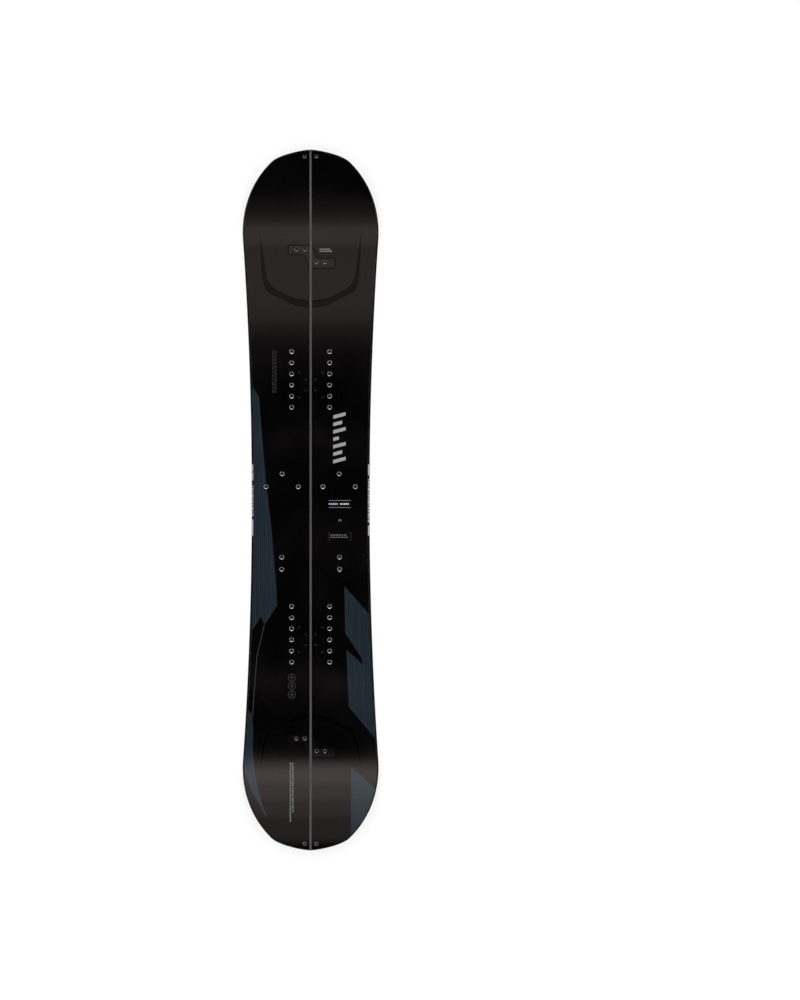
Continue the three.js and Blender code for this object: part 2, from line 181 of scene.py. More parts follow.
class Side:
    """The board's right side from tail tip to nose tip: close points, outward normals and run lengths."""

    FINE = 400

    def __init__(self):
        turn = math.asin(SHOULDER_Y / SIDECUT_RADIUS)
        angles = np.linspace(0, turn, self.FINE)
        centre = np.array((HALF_WAIST + SIDECUT_RADIUS, 0))
        sidecut = centre + SIDECUT_RADIUS * np.column_stack((-np.cos(angles), np.sin(angles)))
        along = np.array((math.sin(turn), math.cos(turn)))
        across = np.array((-math.cos(CORNER_ANGLE), math.sin(CORNER_ANGLE)))
        shoulder = sidecut[-1]
        upper = bezier((shoulder, shoulder + SHOULDER_HANDLE * along,
                        CORNER - CORNER_HANDLE_SIDE * across, CORNER), self.FINE)
        tip = bezier((CORNER, CORNER + CORNER_HANDLE_TIP * across,
                      (TIP_HANDLE, HALF_LENGTH), (0, HALF_LENGTH)), self.FINE)
        quarter = np.vstack((sidecut, upper[1:], tip[1:]))
        self.points = np.vstack((quarter[:0:-1] * (1, -1), quarter))
        run = np.gradient(self.points, axis=0)
        run[[0, -1], 1] = 0
        run /= np.linalg.norm(run, axis=1)[:, None]
        self.normals = np.column_stack((run[:, 1], -run[:, 0]))
        steps = np.linalg.norm(np.diff(self.points, axis=0), axis=1)
        self.length = np.concatenate(([0], np.cumsum(steps)))

    def inset(self, inset_at):
        """The close points moved inwards."""
        return self.points - self.normals * np.asarray(inset_at(self.points[:, 1]))[:, None]

    def ends(self, line, seam=None, stop_y=None):
        """Where a moved line meets the seam, or the two ends at plus and minus stop_y, as run lengths."""
        if stop_y is not None:
            start = np.interp(-stop_y, line[:, 1], self.length)
        else:
            start = np.interp(seam, line[:self.FINE, 0], self.length[:self.FINE])
        return start, self.length[-1] - start

    def at(self, line, where):
        return np.column_stack([np.interp(where, self.length, line[:, axis]) for axis in (0, 1)])


SIDE = Side()
TIP_STEP = 6
SIDECUT_STEP = 15
CLOSEST = 1.5


def shares_along(start, end, stops=()):
    """Stations from 0 to 1 along a side, close together round the tips, with one at each Y in stops."""
    shoulders = np.interp((-SHOULDER_Y, SHOULDER_Y), SIDE.points[:, 1], SIDE.length)
    low, high = (max(start, shoulders[0]), min(end, shoulders[1]))
    runs = [(start, low, TIP_STEP), (low, high, SIDECUT_STEP), (high, end, TIP_STEP)]
    where = [np.linspace(a, b, max(2, round((b - a) / step) + 1))
             for a, b, step in runs if b - a > CLOSEST]
    plain = np.unique(np.concatenate(where))
    fixed = np.interp(sorted(stops), SIDE.points[:, 1], SIDE.length) if len(stops) else np.array([])
    if len(fixed):
        gap = np.abs(plain[:, None] - fixed[None, :]).min(axis=1)
        plain = plain[(gap > CLOSEST) | (plain == start) | (plain == end)]
    return (np.unique(np.concatenate((plain, fixed))) - start) / (end - start)


def half_border(inset_at, seam):
    """The right half's plan outline at an inset, anticlockwise, with its straight side on the seam."""
    line = SIDE.inset(inset_at)
    start, end = SIDE.ends(line, seam=seam)
    points = SIDE.at(line, start + (end - start) * shares_along(start, end))
    points[[0, -1], 0] = seam
    return points


# ---------- flat shapes ----------

def anticlockwise(loop):
    loop = np.asarray(loop, float)
    nxt = np.roll(loop, -1, axis=0)
    area = (loop[:, 0] * nxt[:, 1] - nxt[:, 0] * loop[:, 1]).sum()
    return loop if area > 0 else loop[::-1]


ROUNDING_STEPS = 4


def rounded(corners):
    """A closed loop through (x, y, cut) corners, each rounded from cut before it to cut after it."""
    loop = []
    count = len(corners)
    for index, (x, y, cut) in enumerate(corners):
        here = np.array((x, y))
        before, after = (np.array(corners[(index + side) % count][:2]) - here for side in (-1, 1))
        if cut == 0:
            loop.append(here)
            continue
        start = here + before / np.linalg.norm(before) * cut
        end = here + after / np.linalg.norm(after) * cut
        for t in np.linspace(0, 1, ROUNDING_STEPS + 1):
            loop.append((1 - t) ** 2 * start + 2 * (1 - t) * t * here + t ** 2 * end)
    return anticlockwise(loop)


def circle(x, y, radius, sides=28):
    angles = np.linspace(0, 2 * np.pi, sides, endpoint=False)
    return np.column_stack((x + radius * np.cos(angles), y + radius * np.sin(angles)))


def bar(x0, y0, x1, y1):
    return np.array(((x0, y0), (x1, y0), (x1, y1), (x0, y1)), float)


def stroke(start, end, width):
    """A straight stroke between two points."""
    start, end = np.array(start, float), np.array(end, float)
    along = (end - start) / np.linalg.norm(end - start)
    off = np.array((-along[1], along[0])) * width / 2
    return anticlockwise((start - off, end - off, end + off, start + off))


def shrunk(loop, distance):
    """A loop moved inwards by the same distance all round."""
    loop = anticlockwise(loop)
    run = np.roll(loop, -1, axis=0) - loop
    run /= np.linalg.norm(run, axis=1)[:, None]
    inwards = np.column_stack((-run[:, 1], run[:, 0]))
    before = np.roll(inwards, 1, axis=0)
    miter = (inwards + before) / (1 + (inwards * before).sum(axis=1))[:, None]
    return loop + miter * distance


def depth_inside(loop, points):
    """How far points lie inside a closed loop. Outside it, 0."""
    loop = np.asarray(loop, float)
    nxt = np.roll(loop, -1, axis=0)
    nearest = np.full(len(points), np.inf)
    inside = np.zeros(len(points), bool)
    for a, b in zip(loop, nxt):
        run = b - a
        share = np.clip(((points - a) @ run) / (run @ run), 0, 1)
        away = np.linalg.norm(points - a - share[:, None] * run, axis=1)
        nearest = np.minimum(nearest, away)
        crosses = (a[1] > points[:, 1]) != (b[1] > points[:, 1])
        with np.errstate(divide="ignore", invalid="ignore"):
            at_x = a[0] + (points[:, 1] - a[1]) * run[0] / run[1]
        inside ^= crosses & (points[:, 0] < at_x)
    return np.where(inside, nearest, 0)


def thinned(values, gap):
    """Sorted values with none closer than gap to the one before."""
    kept = []
    for value in sorted(values):
        if not kept or value - kept[-1] >= gap:
            kept.append(value)
    return kept


ROW_GAP = 7
FAR = 400  # past the board's sides
WELD = 1e-5  # points closer than this are one


def triangulate(border, holes, areas):
    """A plate's plan as points, triangles and the area that each triangle is in, with -1 for none.

    Rows across the board at the border's own points let the plate bend along its length."""
    points, loops = [], []
    for loop in (border, *holes, *areas):
        loops.append(list(range(len(points), len(points) + len(loop))))
        points.extend(anticlockwise(loop))
    rows = []
    for y in thinned(border[:, 1], ROW_GAP):
        rows.append((len(points), len(points) + 1))
        points.extend(((-FAR, y), (FAR, y)))
    cut = geometry.delaunay_2d_cdt([Vector(point) for point in points], rows, loops, 0, WELD)
    flat, faces, inside = cut[0], cut[2], cut[5]
    first_area = 1 + len(holes)
    triangles, labels = [], []
    for face, owners in zip(faces, inside):
        if 0 in owners and not any(1 <= owner < first_area for owner in owners):
            triangles.append(face)
            labels.append(max(owners) - first_area if max(owners) >= first_area else -1)
    used, triangles = np.unique(np.array(triangles), return_inverse=True)
    flat = np.array([tuple(point) for point in flat])[used]
    return flat, triangles.reshape(-1, 3), np.array(labels)


# ---------- meshes ----------

SHARP = math.radians(30)


def make_object(node, vertices, faces, materials, face_materials, flipped=False, known_normals=None):
    """The fine mesh for a CAD node, from millimetre points. Faces under the sharp angle shade as one.

    known_normals are exact normals for the first faces' corners. flipped turns the faces over."""
    mesh = bpy.data.meshes.new(f"{node}_fine")
    if flipped:
        faces = [tuple(face)[::-1] for face in faces]
    faces = [tuple(int(vertex) for vertex in face) for face in faces]
    mesh.from_pydata((np.asarray(vertices) * MM).tolist(), [], faces)
    for material in materials:
        mesh.materials.append(material)
    mesh.polygons.foreach_set("material_index", np.asarray(face_materials, np.int32))
    mesh.shade_smooth()
    mesh.set_sharp_from_angle(angle=SHARP)
    if known_normals is not None:
        normals = np.zeros(len(mesh.loops) * 3, np.float32)
        mesh.corner_normals.foreach_get("vector", normals)
        normals = normals.reshape(-1, 3)
        normals[:len(known_normals)] = known_normals
        mesh.normals_split_custom_set(normals.tolist())
    mesh.validate()
    mesh.update()
    obj = bpy.data.objects.new(mesh.name, mesh)
    bpy.context.scene.collection.objects.link(obj)
    return obj


def finished(obj, hand):
    """Hands a piece to its half of the board, in place of its CAD node."""
    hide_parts(obj.name.removesuffix("_fine"))
    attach(obj, f"{hand}_half")


def outer_edges(triangles):
    """The directed edges that only one triangle has."""
    edges = np.vstack((triangles[:, [0, 1]], triangles[:, [1, 2]], triangles[:, [2, 0]]))
    present = {tuple(edge) for edge in edges.tolist()}
    return [edge for edge in edges.tolist() if (edge[1], edge[0]) not in present]


MITER_FLOOR = 0.6  # the least that a miter is divided by, so that it stays short at a sharp corner


def miters(points, edges):
    """For each point on an open edge, the way straight out of the plate."""
    out = {}
    for a, b in edges:
        run = points[b] - points[a]
        normal = np.array((run[1], -run[0])) / max(np.linalg.norm(run), 1e-9)
        for vertex in (a, b):
            out.setdefault(vertex, []).append(normal)
    result = {}
    for vertex, normals in out.items():
        total = np.sum(normals, axis=0)
        result[vertex] = total / max(1 + normals[0] @ normals[-1], MITER_FLOOR)
    return result


WALL_NEAR = 1.5  # a rim point this near to the outer wall's place is on it
SEAM_CLEAR = 1  # if it is also further than this past the inner sidewall


def no_relief(places):
    return np.zeros(len(places))


def slab(node, hand, border, holes, low_at, high_at, materials,
         areas=(), shift=no_relief, chamfer=0, lean=None, wall=0):
    """A layer of the board between two heights, with coloured areas and relief in its top.

    areas are (loop, material index) pairs, and shift is the relief. lean says how far the outer wall's foot
    stands out past its top, by Y. wall is the material index of the walls. The shapes are the right
    half's."""
    points, triangles, labels = triangulate(border, holes, [loop for loop, _ in areas])
    edges = outer_edges(triangles)
    out = miters(points, edges)
    rim = sorted(out)
    ways = np.array([out[vertex] for vertex in rim])
    count = len(points)
    top_z = high_at(points[:, 1]) + shift(points)
    foot = points.copy()
    spread = np.full(len(rim), float(chamfer))
    if lean is not None:
        dense = SIDE.inset(level(0))
        away = np.array([np.linalg.norm(dense - points[vertex], axis=1).min() for vertex in rim])
        on_side = away < WALL_NEAR + np.array([top_inset(points[vertex, 1]) for vertex in rim])
        off_seam = points[rim, 0] > SEAM + INNER_SIDEWALL + SEAM_CLEAR
        spread += np.where(on_side & off_seam, lean(points[rim, 1]), 0)
    foot[rim] += ways * spread[:, None]
    vertices = [np.column_stack((points, top_z)), np.column_stack((foot, low_at(foot[:, 1])))]
    ring = {vertex: 2 * count + index for index, vertex in enumerate(rim)}
    if chamfer:
        lip = points[rim] + ways * chamfer
        vertices.append(np.column_stack((lip, high_at(lip[:, 1]) + shift(points[rim]) - chamfer)))
    faces = [tuple(triangle) for triangle in triangles]
    faces += [tuple(triangle[::-1] + count) for triangle in triangles]
    for a, b in edges:
        if chamfer:
            faces.append((ring[a], ring[b], b, a))
            faces.append((a + count, b + count, ring[b], ring[a]))
        else:
            faces.append((a + count, b + count, b, a))
    kinds = [areas[label][1] if label >= 0 else 0 for label in labels]
    kinds += [0] * len(triangles)
    kinds += [wall] * (len(faces) - len(kinds))
    normals = layer_normals(points, triangles, high_at, shift, low_at)
    add_layer(node, hand, np.vstack(vertices), faces, materials, kinds, normals)


def add_layer(node, hand, vertices, faces, materials, kinds, normals):
    """Adds a layer from the right half's points, mirrored for the left half."""
    left = hand == "left"
    if left:
        vertices = vertices * (-1, 1, 1)
        normals = mirrored_corners(normals)
    finished(make_object(f"{node}_{hand}", vertices, faces, materials, kinds, left, normals), hand)


NORMAL_STEP = 0.02


def layer_normals(points, triangles, high_at, shift, low_at):
    """Exact normals for the corners of a slab's top and bottom faces."""
    y = points[triangles][:, :, 1]
    middle = points[triangles].mean(axis=1)
    fall_x, fall_y = ((shift(middle + nudge) - shift(middle - nudge)) / (2 * NORMAL_STEP)
                      for nudge in NORMAL_STEP * np.eye(2))
    across = np.repeat(-fall_x[:, None], 3, axis=1)
    along = -slope_of(high_at, y) - fall_y[:, None]
    top = np.stack((across, along, np.ones_like(y)), 2)
    under = np.stack((np.zeros_like(y), slope_of(low_at, y), -np.ones_like(y)), 2)[:, ::-1]
    normals = np.concatenate((top, under)).reshape(-1, 3)
    return normals / np.linalg.norm(normals, axis=1)[:, None]


def mirrored_corners(normals):
    """The same triangles' corner normals after X is mirrored and each face is turned over."""
    return (normals.reshape(-1, 3, 3)[:, ::-1] * (-1, 1, 1)).reshape(-1, 3)


def add_bar(node, hand, rails, materials, flipped=False, paint=None):
    """Adds a closed bar with flat ends between rails, lines of matching points round its section.

    The rails are the right half's, mirrored for the left. flipped turns the right half's faces over.
    paint(station, rail) gives the material index of the face after that station and that rail."""
    rails = np.asarray(rails) * (SIDES[hand], 1, 1)
    count, stations = rails.shape[:2]
    vertices = rails.transpose(1, 0, 2).reshape(-1, 3)
    faces, kinds = [], []
    for station in range(stations - 1):
        for index in range(count):
            after = (index + 1) % count
            here, ahead = station * count, (station + 1) * count
            faces.append((here + index, here + after, ahead + after, ahead + index))
            kinds.append(paint(station, index) if paint else 0)
    faces.append(tuple(range(count))[::-1])
    faces.append(tuple((stations - 1) * count + index for index in range(count)))
    kinds += [0, 0]
    flipped ^= hand == "left"
    finished(make_object(f"{node}_{hand}", vertices, faces, materials, kinds, flipped), hand)


def lathe(profile, segments):
    """Vertices and faces of a turned shape from (radius, z) pairs that start and end on the axis."""
    inner = profile[1:-1]
    angles = np.linspace(0, 2 * np.pi, segments, endpoint=False)
    rings = [[(r * math.cos(a), r * math.sin(a), z) for a in angles] for r, z in inner]
    vertices = [(0, 0, profile[0][1]), *[point for ring in rings for point in ring], (0, 0, profile[-1][1])]
    faces = []
    for s in range(segments):
        after = (s + 1) % segments
        faces.append((0, 1 + after, 1 + s))
        for k in range(len(inner) - 1):
            a, b = 1 + k * segments, 1 + (k + 1) * segments
            faces.append((a + s, a + after, b + after, b + s))
        last = 1 + (len(inner) - 1) * segments
        faces.append((last + s, last + after, len(vertices) - 1))
    return np.array(vertices), faces


def joined(parts):
    """Several (vertices, faces, face materials) shapes as one."""
    vertices, faces, kinds, start = [], [], [], 0
    for part_vertices, part_faces, part_kinds in parts:
        vertices.append(part_vertices)
        faces += [tuple(v + start for v in face) for face in part_faces]
        kinds += part_kinds
        start += len(part_vertices)
    return np.vstack(vertices), faces, kinds


# ---------- material nodes ----------

class Look:
    """A Principled material, and short calls that add nodes to it."""

    def __init__(self, name, colour, roughness, specular=0.5, metallic=0.0):
        self.material = bpy.data.materials.new(name)
        self.material.use_nodes = True
        self.tree = self.material.node_tree
        self.shader = self.tree.nodes["Principled BSDF"]
        self.material.diffuse_color = (*colour, 1)
        self.put("Base Color", (*colour, 1))
        self.put("Roughness", roughness)
        self.put("Specular IOR Level", specular)
        self.put("Metallic", metallic)

    def put(self, socket, value):
        self.wire(self.shader.inputs[socket], value)

    def wire(self, socket, value):
        if isinstance(value, bpy.types.NodeSocket):
            self.tree.links.new(value, socket)
        else:
            socket.default_value = value

    def node(self, kind, inputs=None, out=0, **settings):
        made = self.tree.nodes.new("ShaderNode" + kind)
        for key, value in settings.items():
            setattr(made, key, value)
        for key, value in (inputs or {}).items():
            self.wire(made.inputs[key], value)
        return made.outputs[out]

    def place(self, scale=(1, 1, 1)):
        """The point on the piece, in metres, stretched along each axis."""
        point = self.node("TexCoord", out="Object")
        return self.node("Mapping", {"Vector": point, "Scale": scale})

    def axis(self, number):
        """The place along one axis."""
        return self.node("SeparateXYZ", {"Vector": self.place()}, out=number)

    def noise(self, scale, detail=2, stretch=(1, 1, 1), roughness=0.5):
        inputs = {"Vector": self.place(stretch), "Scale": scale, "Detail": detail, "Roughness": roughness}
        return self.node("TexNoise", inputs)

    def math(self, operation, *values):
        return self.node("Math", dict(enumerate(values)), operation=operation)

    def between(self, value, low, high, from_low=0.3, from_high=0.7):
        """A value spread from one range to another."""
        names = ("Value", "From Min", "From Max", "To Min", "To Max")
        return self.node("MapRange", dict(zip(names, (value, from_low, from_high, low, high))))

    def mixed(self, share, first, second):
        """Two colours mixed by a share."""
        mix = self.tree.nodes.new("ShaderNodeMix")
        mix.data_type = "RGBA"
        for socket, value in ((mix.inputs[0], share), (mix.inputs[6], first), (mix.inputs[7], second)):
            self.wire(socket, value if isinstance(value, (float, bpy.types.NodeSocket)) else (*value, 1))
        return mix.outputs[2]

    def tone(self, pattern, first, second):
        """Colours the surface with two colours that follow a pattern."""
        self.put("Base Color", self.mixed(self.between(pattern, 0, 1), first, second))

    def gloss(self, pattern, low, high):
        """Sets the roughness between two values that follow a pattern."""
        self.put("Roughness", self.between(pattern, low, high))

    def bump(self, height, strength, distance):
        inputs = {"Height": height, "Strength": strength, "Distance": distance}
        self.put("Normal", self.node("Bump", inputs))


BLACK = (0.0005, 0.00045, 0.0005)
BLACK_LIGHTER = (0.0011, 0.001, 0.00105)
BLACK_TINT = (1, 0.83, 0.83, 1)
ABS_BLACKS = ((0.0012, 0.0012, 0.0012), (0.003, 0.003, 0.0031))


def grey(value):
    return value, value, value


def satin(name, roughness, specular):
    """Moulded nylon topsheet: a fine grain, slow changes of gloss and a few long rub marks."""
    look = Look(name, BLACK, roughness, specular)
    look.put("Specular Tint", BLACK_TINT)
    cloud = look.noise(9, 3)
    rubbed = look.noise(40, 3, (6, 0.4, 1))
    look.tone(cloud, BLACK, BLACK_LIGHTER)
    gloss = look.between(cloud, roughness - 0.02, roughness + 0.02)
    look.put("Roughness", look.math("ADD", gloss, look.between(rubbed, 0, 0.03, 0.62, 0.8)))
    look.bump(look.noise(1500), 0.02, 0.0002)
    return look.material


HAIRLINE = 0.0045  # metres between two hairlines


def hairline_panel():
    """Slate print with fine lines along the board."""
    dark, light = (0.0075, 0.0135, 0.0195), (0.0175, 0.0262, 0.0355)
    look = Look("slate_hairline", dark, 0.12)
    phase = look.math("FRACT", look.math("DIVIDE", look.axis(0), HAIRLINE))
    rise = look.between(phase, 0, 1, 0.0, 0.3)
    fall = look.between(phase, 1, 0, 0.6, 1.0)
    line = look.math("SMOOTH_MIN", rise, fall, 0.2)
    streak = look.noise(150, 4, (5, 0.06, 1))
    share = look.math("MULTIPLY", line, look.between(streak, 0.25, 1, 0.35, 0.65))
    look.put("Base Color", look.mixed(share, dark, light))
    look.gloss(streak, 0.1, 0.15)
    look.bump(line, 0.05, 0.00008)
    return look.material


def ink(name, colour, roughness=0.4):
    """Screen-printed ink with a faintly uneven lay."""
    look = Look(name, colour, roughness, 0.12)
    look.tone(look.noise(700, 3), tuple(0.75 * value for value in colour), colour)
    look.gloss(look.noise(300), roughness - 0.06, roughness + 0.06)
    look.bump(look.noise(2200), 0.1, 0.0001)
    return look.material


def ground_base(name, colour, darker):
    """Sintered base with stone-grind lines along the board and a faint cross structure."""
    look = Look(name, colour, 0.3)
    grind = look.noise(900, 4, (4, 0.05, 1))
    wave = {"Vector": look.place(), "Scale": 60.0, "Distortion": 3.0, "Detail": 2.0}
    cross = look.node("TexWave", wave, bands_direction="DIAGONAL")
    look.tone(look.noise(14, 5), darker, colour)
    look.gloss(grind, 0.22, 0.38)
    look.bump(look.math("ADD", grind, look.math("MULTIPLY", cross, 0.15)), 0.25, 0.0001)
    return look.material


def grained(name, colour, roughness, specular, grain, tones, gloss, bump=None):
    """A material whose tone, gloss and relief follow one grain.

    grain is the noise's (scale, detail, stretch), tones and gloss are the two ends of each range, and bump
    is the relief's (strength, depth in metres)."""
    look = Look(name, colour, roughness, specular)
    pattern = look.noise(*grain)
    look.tone(pattern, *tones)
    look.gloss(pattern, *gloss)
    if bump:
        look.bump(pattern, *bump)
    return look.material


def mill_steel():
    """The dark rolled faces of an edge that grinding doesn't reach."""
    return grained("edge_steel_rolled", (0.006, 0.0057, 0.0055), 0.6, 0.03, grain=(350, 4),
                   tones=((0.004, 0.0038, 0.0037), (0.009, 0.0086, 0.0083)), gloss=(0.5, 0.7),
                   bump=(0.2, 0.00008))


def oiled_shaded_thread():
    """The thread inside an insert: blackened and oiled, and darker still as painted shade of the deep bore.
    """
    return grained("insert_thread_oil_and_shade", grey(0.003), 0.4, 0.1, grain=(900, 3),
                   tones=(grey(0.002), grey(0.005)), gloss=(0.3, 0.55))


def milled_sidewall():
    """Black ABS with cutter marks along the board."""
    return grained("sidewall_abs_milled", grey(0.002), 0.5, 0.008, grain=(500, 3, (1, 0.12, 6)),
                   tones=ABS_BLACKS, gloss=(0.42, 0.6), bump=(0.3, 0.0001))


def seam_sidewall():
    """Grey ABS along the cut, with fine saw lines."""
    return grained("sidewall_abs_grey", (0.088, 0.084, 0.086), 0.5, 0.12, grain=(700, 3, (6, 0.1, 2)),
                   tones=((0.078, 0.074, 0.076), (0.098, 0.093, 0.095)), gloss=(0.42, 0.58),
                   bump=(0.25, 0.0001))


def cut_laminate():
    """The laminate's cut edge, dark with resin and milling dust."""
    return grained("laminate_cut_edge", (0.004, 0.004, 0.0038), 0.5, 0.03, grain=(900, 3, (1, 0.1, 5)),
                   tones=((0.0022, 0.0022, 0.002), (0.007, 0.007, 0.0065)), gloss=(0.42, 0.6),
                   bump=(0.2, 0.00006))


def ground_steel():
    """An edge's ground faces, bright with lines along the board."""
    look = Look("edge_steel_ground", (0.62, 0.62, 0.63), 0.34, metallic=1.0)
    lines = look.noise(1200, 4, (5, 0.08, 5))
    look.tone(look.noise(25, 3), (0.5, 0.5, 0.51), (0.68, 0.68, 0.69))
    look.gloss(lines, 0.26, 0.44)
    look.bump(lines, 0.2, 0.00006)
    return look.material


def turned_steel(name, shade):
    """Stainless steel at a given grey, with a fine turned grain."""
    look = Look(name, grey(shade), 0.3, metallic=1.0)
    fine = look.noise(1800, 3)
    look.tone(look.noise(120), grey(0.85 * shade), grey(1.15 * shade))
    look.gloss(fine, 0.2, 0.3)
    look.bump(fine, 0.15, 0.00006)
    return look.material


def spacer_abs():
    """Black ABS with a moulded skin."""
    look = Look("spacer_abs", grey(0.002), 0.5, 0.03)
    cloud = look.noise(200, 4)
    look.tone(cloud, *ABS_BLACKS)
    look.gloss(cloud, 0.44, 0.58)
    look.bump(look.noise(1300), 0.2, 0.0001)
    return look.material


WEAVE = 0.0024  # metres between two rovings


def glass_laminate():
    """Glass rovings in clear resin: two crossed sets of bands."""
    look = Look("glass_laminate", (0.45, 0.47, 0.38), 0.35)
    turns = 2 * math.pi / WEAVE
    waves = [look.math("SINE", look.math("MULTIPLY", look.axis(number), turns)) for number in (0, 1)]
    weave = look.math("MULTIPLY", *waves)
    share = look.between(weave, 0, 1, -0.6, 0.6)
    look.put("Base Color", look.mixed(share, (0.3, 0.32, 0.25), (0.55, 0.57, 0.47)))
    look.gloss(look.noise(400), 0.28, 0.42)
    look.bump(weave, 0.2, 0.0002)
    return look.material


STRIP = 0.016  # metres across one wood strip


def wood_strips():
    """Core of upright strips glued side by side, each with its own tone and grain."""
    look = Look("core_wood_strips", (0.5, 0.35, 0.19), 0.6)
    number = look.math("FLOOR", look.math("DIVIDE", look.axis(0), STRIP))
    tone = look.node("TexWhiteNoise", {"W": number}, noise_dimensions="1D")
    grain = look.noise(160, 5, (5, 0.12, 5), 0.6)
    pale = look.mixed(tone, (0.52, 0.37, 0.2), (0.68, 0.53, 0.33))
    look.put("Base Color", look.mixed(look.between(grain, 0, 0.8), pale, (0.3, 0.18, 0.08)))
    look.gloss(grain, 0.5, 0.7)
    look.bump(grain, 0.2, 0.0002)
    return look.material


FLOOR_GLOW = 0.7


def studio_floor():
    """Pale matt floor lit from within like a light table, see-through from below to show the base."""
    look = Look("studio_floor", (0.3, 0.3, 0.298), 0.7, 0.1)
    look.put("Emission Color", (1, 1, 1, 1))
    look.put("Emission Strength", FLOOR_GLOW)
    look.put("Base Color", look.mixed(look.noise(3, 3), (0.295, 0.295, 0.293), (0.305, 0.305, 0.303)))
    clear = look.tree.nodes.new("ShaderNodeBsdfTransparent")
    mix = look.tree.nodes.new("ShaderNodeMixShader")
    back = look.node("NewGeometry", out="Backfacing")
    for socket, value in enumerate((back, look.shader.outputs[0], clear.outputs[0])):
        look.wire(mix.inputs[socket], value)
    look.wire(look.tree.nodes["Material Output"].inputs["Surface"], mix.outputs[0])
    return look.material


TOP_LOOKS = {
    "satin": satin("topsheet_satin", 0.1, 0.5),
    "panel": hairline_panel(),
    "line": ink("ink_line_grey", (0.04, 0.039, 0.04)),
    "pale": ink("ink_pale_grey", (0.32, 0.32, 0.325)),
    "mid": ink("ink_mid_grey", (0.18, 0.178, 0.18)),
    "dim": ink("ink_dim_grey", (0.013, 0.0122, 0.0142)),
    "blue": ink("ink_dusk_blue", (0.12, 0.15, 0.2)),
    "frost": ink("ink_frost_blue", (0.4, 0.5, 0.62)),
    "bright": ink("ink_white_grey", (0.62, 0.62, 0.625)),
    # The recess rim, crease and deep satins throw back less light than the sheet: painted shade on the
    # recesses' rims and creases and on the hole lips, deepest in the tail's groove and pocket.
    "wall": satin("topsheet_recess_rim_painted_shade", 0.12, 0.34),
    "matt": satin("topsheet_recess_floor", 0.12, 0.25),
    "crease": satin("topsheet_crease_painted_shade", 0.12, 0.04),
    "cut": milled_sidewall(),
    "pocket": satin("topsheet_pocket_floor", 0.12, 0.66),
    "deep": satin("topsheet_recess_painted_deep_shade", 0.12, 0.01),
}
TOP_ORDER = list(TOP_LOOKS)
BASE_BLACK = ground_base("base_black_ground", (0.004, 0.0038, 0.004), (0.0028, 0.0027, 0.0028))
BASE_RED = ground_base("base_red_ground", (0.78, 0.012, 0.035), (0.66, 0.009, 0.028))
BASE_GREY = ground_base("base_grey_ground", (0.25, 0.25, 0.255), (0.21, 0.21, 0.215))
STEEL = ground_steel()
ROLLED_STEEL = mill_steel()
INSERT_STEEL = {"M6": turned_steel("insert_steel_m6", 0.3), "M5": turned_steel("insert_steel_m5", 0.18)}
INSERT_THREAD_SHADED = oiled_shaded_thread()
SIDEWALL_BLACK = TOP_LOOKS["cut"]
SIDEWALL_GREY = seam_sidewall()
SIDEWALL_INK = ink("sidewall_ink", (0.5, 0.5, 0.505), roughness=0.5)
SPACER_BLACK = spacer_abs()
GLASS = glass_laminate()
GLASS_CUT = cut_laminate()
WOOD = wood_strips()


# ---------- camera, lights and floor ----------

LENS = 300
SENSOR = 36
VIEW_HEIGHT = 2245.1  # millimetres of the board's plane that the picture's height takes in
CAMERA_X = 200.6  # how far the camera stands to the right of the seam


def make_camera():
    """A long lens straight over the board."""
    data = bpy.data.cameras.new("camera")
    data.lens = LENS
    data.sensor_width = SENSOR
    camera = bpy.data.objects.new("camera", data)
    bpy.context.scene.collection.objects.link(camera)
    distance = VIEW_HEIGHT * LENS / SENSOR
    camera.location = (CAMERA_X * MM, 0, (distance + float(top_face(0))) * MM)
    data.clip_end = 200
    bpy.context.scene.camera = camera


def area_light(name, centre, target, size, radiance):
    """A soft rectangular light, in metres, that faces its target. radiance is how bright its face looks."""
    data = bpy.data.lights.new(name, "AREA")
    data.shape = "RECTANGLE"
    data.size, data.size_y = size
    data.energy = math.pi * radiance * size[0] * size[1]
    light = bpy.data.objects.new(name, data)
    light.location = centre
    light.rotation_mode = "QUATERNION"
    light.rotation_quaternion = (Vector(target) - Vector(centre)).to_track_quat("-Z", "Y")
    light.visible_camera = False
    bpy.context.scene.collection.objects.link(light)
    return light


# Two wide overhead keys, one to each side of the board. Places and sizes are metres.
KEY_RADIANCE = 2.4
KEY_NEAR, KEY_FAR, KEY_UP, KEY_LONG = 2.6, 12, 9, 22

GLOW_AT = (0, 14, 4.2)
GLOW_SIZE = (14, 5)
GLOW_RADIANCE = 8
INSERTS_LIT = bpy.data.collections.new("inserts_lit")  # the only pieces that the insert glow shines on

# Banks of lights over the board, as height, width and (from, to, radiance) bands in Y: low strips over the
# nose, and two high banks that the kicked-up nose and tail reflect. Bands of different strength make their
# highlights fade.
LIGHT_BANKS = {
    "nose_strip": (1.2, 1.0, (
        (0.3, 0.36, 0.03), (0.36, 0.4, 0.1), (0.4, 0.45, 0.22), (0.45, 0.47, 0.46), (0.47, 0.56, 0.64))),
    "nose_low_strip": (0.6, 1.0, ((0.5005, 0.54, 0.24),)),
    "nose_bank": (18, 8, ((-3.6, -2.9, 0.1), (-2.9, -2.1, 0.58), (-2.1, -1.5, 0.45))),
    "tail_bank": (60, 26, ((7.7, 9.2, 1.0), (9.2, 13, 1.55), (13, 18, 1.05), (18, 25, 0.68), (25, 36, 0.4))),
}

# Soft light from below for the base.
BASE_FILL_AT = (0, 0, -6)
BASE_FILL_SIZE = (9, 9)
BASE_FILL_RADIANCE = 0.38

ORIGIN = (0, 0, 0)


